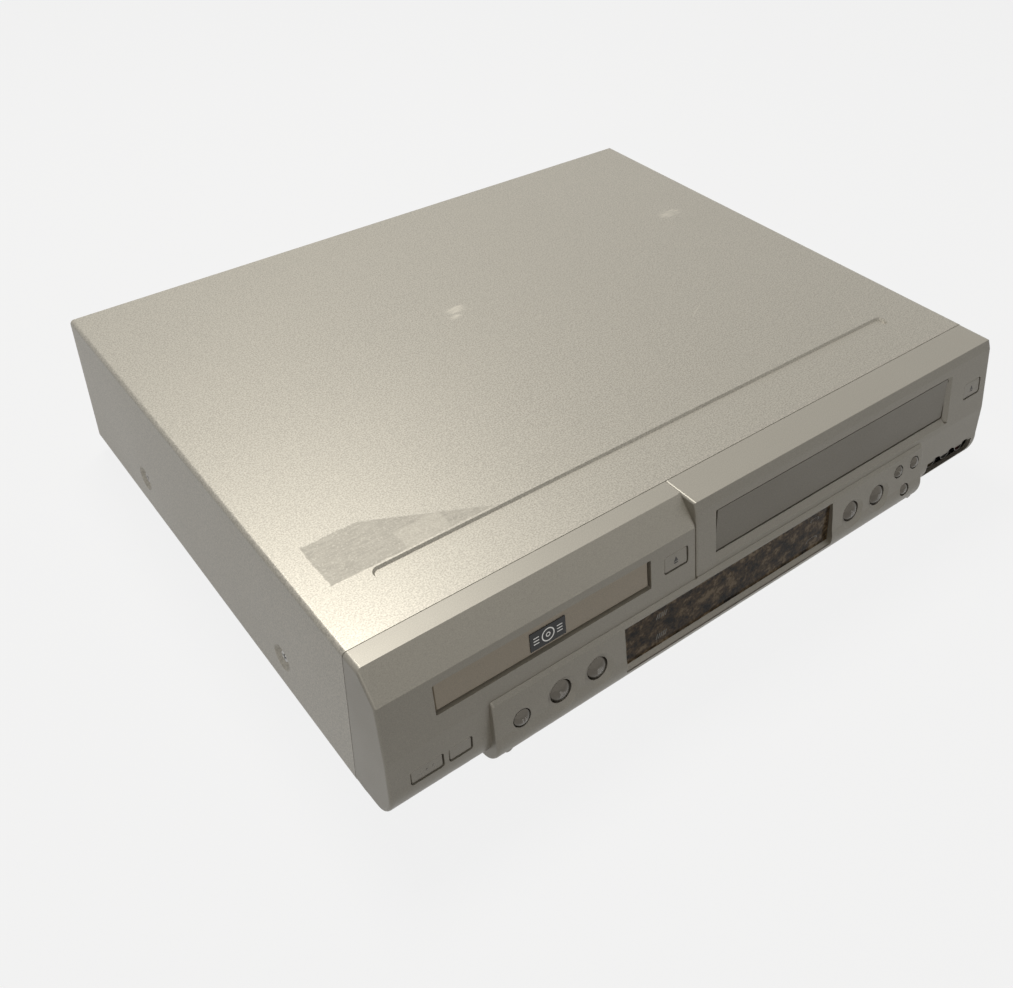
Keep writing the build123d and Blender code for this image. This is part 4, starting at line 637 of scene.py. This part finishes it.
grip = [turned(disc_x, 71.0, [(r, 73.9), (r, 74.2), (r + 0.15, 74.28), (r + 0.75, 74.28), (r + 0.9, 74.2),
                               (r + 0.9, 73.9)]) for r in (8.2, 9.6, 11.0, 12.4)]
skin("turntable_grip", grip, moulded("grip_rubber", (0.02, 0.02, 0.02), 0.8, 0.0003), "turntable",
     ring=True)
dome = [(2.4, 69.2), (2.4, 69.45)] + [(2.3 * cos(t), 69.5 + 0.7 * sin(t)) for t in np.linspace(0.1, 1.5, 8)]
skin("pickup_lens", [turned(disc_x, 96.0, dome, 32)], polished("lens_glass", (0.02, 0.015, 0.05), 0.05),
     "pickup")

# ---------------------------------------------------------------- tape deck
# The drums are turned from aluminium and show fine rings round their axis. The reels are black
# plastic, the capstan's flywheel is brass and the tape guides are hard chrome.


def machined(name, colour, x_at, depth_at, roughness=0.2):
    """Turned metal: rings of noise in the distance from an upright axis, and a slow haze."""
    metal = Finish(name)
    x, y, z = metal.parts(metal.place)
    far = metal.radius(x - x_at, y - (face_y + depth_at))
    rings = metal.node("ShaderNodeTexNoise", {"noise_dimensions": "1D"}, {"W": far * 6000.0, "Scale": 1.0})
    bands = metal.node("ShaderNodeTexNoise", {"noise_dimensions": "1D"}, {"W": z * 4000.0, "Scale": 1.0})
    haze = metal.noise(0.012, 3.0)
    tone = metal.mix(rings * 0.5 + bands * 0.5, shade(colour, 0.84), shade(colour, 1.12))
    return metal.close(tone, rings * 0.12 + haze * 0.14 + (roughness - 0.1), 1.0, rings + bands, 0.000008)


dress(machined("drum_aluminium", (0.66, 0.66, 0.65), 0.0793, 0.232), "lower_drum", "upper_drum")
dress(machined("capstan_brass", (0.60, 0.47, 0.25), 0.1513, 0.205, 0.26), "capstan")
dress(moulded("reel_plastic", (0.04, 0.04, 0.04), 0.48), "supply_reel", "takeup_reel")
dress(plated("guide_chrome", (0.68, 0.68, 0.67), 0.12, (1.0, 1.0, 6.0), 0.0003), "tape_guides")

# ---------------------------------------------------------------- floor, light and camera
# Pale floor, a square lamp above and behind the player, a weak one at its front left, and a dim
# even room round it. The camera looks down on the front left corner.


def plain_floor():
    """A wide level floor just below the feet; it shows near white and keeps the player's shadow."""
    reach = 6.0
    corners = [(-reach, -reach, 0.0), (reach, -reach, 0.0), (reach, reach, 0.0), (-reach, reach, 0.0)]
    mesh = bpy.data.meshes.new("floor")
    mesh.from_pydata(corners, [], [(0, 1, 2, 3)])
    floor = bpy.data.objects.new("floor", mesh)
    bpy.context.scene.collection.objects.link(floor)
    chalk = Finish("floor_white")
    seen = chalk.tree.nodes.new("ShaderNodeLightPath")
    direct = Wire(chalk, seen.outputs["Is Camera Ray"]) + Wire(chalk, seen.outputs["Is Glossy Ray"])
    direct = direct + Wire(chalk, seen.outputs["Is Transmission Ray"])
    lit = chalk.node("ShaderNodeBsdfDiffuse", None, {"Color": (0.32, 0.31, 0.30)})
    white = chalk.node("ShaderNodeEmission", None, {"Color": (1.0, 1.0, 1.0), "Strength": 1.0})
    share = direct.math("MULTIPLY", direct, 0.86, clamp=True)
    both = chalk.node("ShaderNodeMixShader", None, {0: share, 1: lit, 2: white})
    chalk.node("ShaderNodeOutputMaterial", None, {"Surface": both})
    mesh.materials.append(chalk.material)


plain_floor()

room = bpy.data.worlds.new("room")
bpy.context.scene.world = room
room.use_nodes = True
tree = room.node_tree
tree.nodes.clear()
path = tree.nodes.new("ShaderNodeLightPath")
glow = tree.nodes.new("ShaderNodeBackground")
white = tree.nodes.new("ShaderNodeBackground")
blend = tree.nodes.new("ShaderNodeMixShader")
seen = tree.nodes.new("ShaderNodeMath")
seen_or_through = tree.nodes.new("ShaderNodeMath")
out = tree.nodes.new("ShaderNodeOutputWorld")
glow.inputs["Color"].default_value = (1.0, 0.97, 0.92, 1.0)
glow.inputs["Strength"].default_value = 0.06
white.inputs["Color"].default_value = (1.0, 1.0, 1.0, 1.0)
white.inputs["Strength"].default_value = 1.0
seen_or_through.use_clamp = True
tree.links.new(path.outputs["Is Camera Ray"], seen.inputs[0])
tree.links.new(path.outputs["Is Glossy Ray"], seen.inputs[1])
tree.links.new(seen.outputs[0], seen_or_through.inputs[0])
tree.links.new(path.outputs["Is Transmission Ray"], seen_or_through.inputs[1])
tree.links.new(seen_or_through.outputs[0], blend.inputs[0])
tree.links.new(glow.outputs[0], blend.inputs[1])
tree.links.new(white.outputs[0], blend.inputs[2])
tree.links.new(blend.outputs[0], out.inputs["Surface"])


def softbox(name, place, aim, size, power, colour):
    """A square area lamp at a place, turned towards a point."""
    lamp = bpy.data.lights.new(name, "AREA")
    lamp.size = size
    lamp.energy = power
    lamp.color = colour
    box = bpy.data.objects.new(name, lamp)
    away = np.array(place) - np.array(aim)
    away = away / np.linalg.norm(away)
    side = np.cross((0.0, 0.0, 1.0), away)
    side = side / np.linalg.norm(side)
    top = np.cross(away, side)
    turn = np.eye(4)
    turn[:3, 0], turn[:3, 1], turn[:3, 2], turn[:3, 3] = side, top, away, place
    box.matrix_world = Matrix(turn.tolist())
    bpy.context.scene.collection.objects.link(box)


softbox("window_light", place=(0.0, 0.48, 1.25), aim=(-0.1, -0.05, 0.05), size=0.4, power=12.0,
        colour=(1.0, 0.985, 0.95))
softbox("front_fill", place=(-0.75, -1.05, 1.15), aim=(0.0, -0.15, 0.05), size=0.3, power=2.2,
        colour=(1.0, 0.96, 0.9))

view_azimuth = radians(-37.647)
view_height = radians(36.677)
view_roll = radians(0.794)
back = np.array((sin(view_azimuth) * cos(view_height), -cos(view_azimuth) * cos(view_height),
                 sin(view_height)))
right = np.cross(-back, (0.0, 0.0, 1.0))
right = right / np.linalg.norm(right)
up = np.cross(right, -back)
turned_right = right * cos(view_roll) + up * sin(view_roll)
turned_up = up * cos(view_roll) - right * sin(view_roll)
stand = np.eye(4)
stand[:3, 0], stand[:3, 1], stand[:3, 2] = turned_right, turned_up, back
stand[:3, 3] = (-0.34897, -0.25512 + face_y, 0.45495)
lens = bpy.data.cameras.new("camera")
lens.sensor_fit = "HORIZONTAL"
lens.sensor_width = 36.0
lens.lens = 39.426
lens.shift_x = -0.00025
lens.shift_y = -0.08797
camera = bpy.data.objects.new("camera", lens)
camera.matrix_world = Matrix(stand.tolist())
bpy.context.scene.collection.objects.link(camera)
bpy.context.scene.camera = camera
bpy.context.scene.view_settings.view_transform = "Standard"
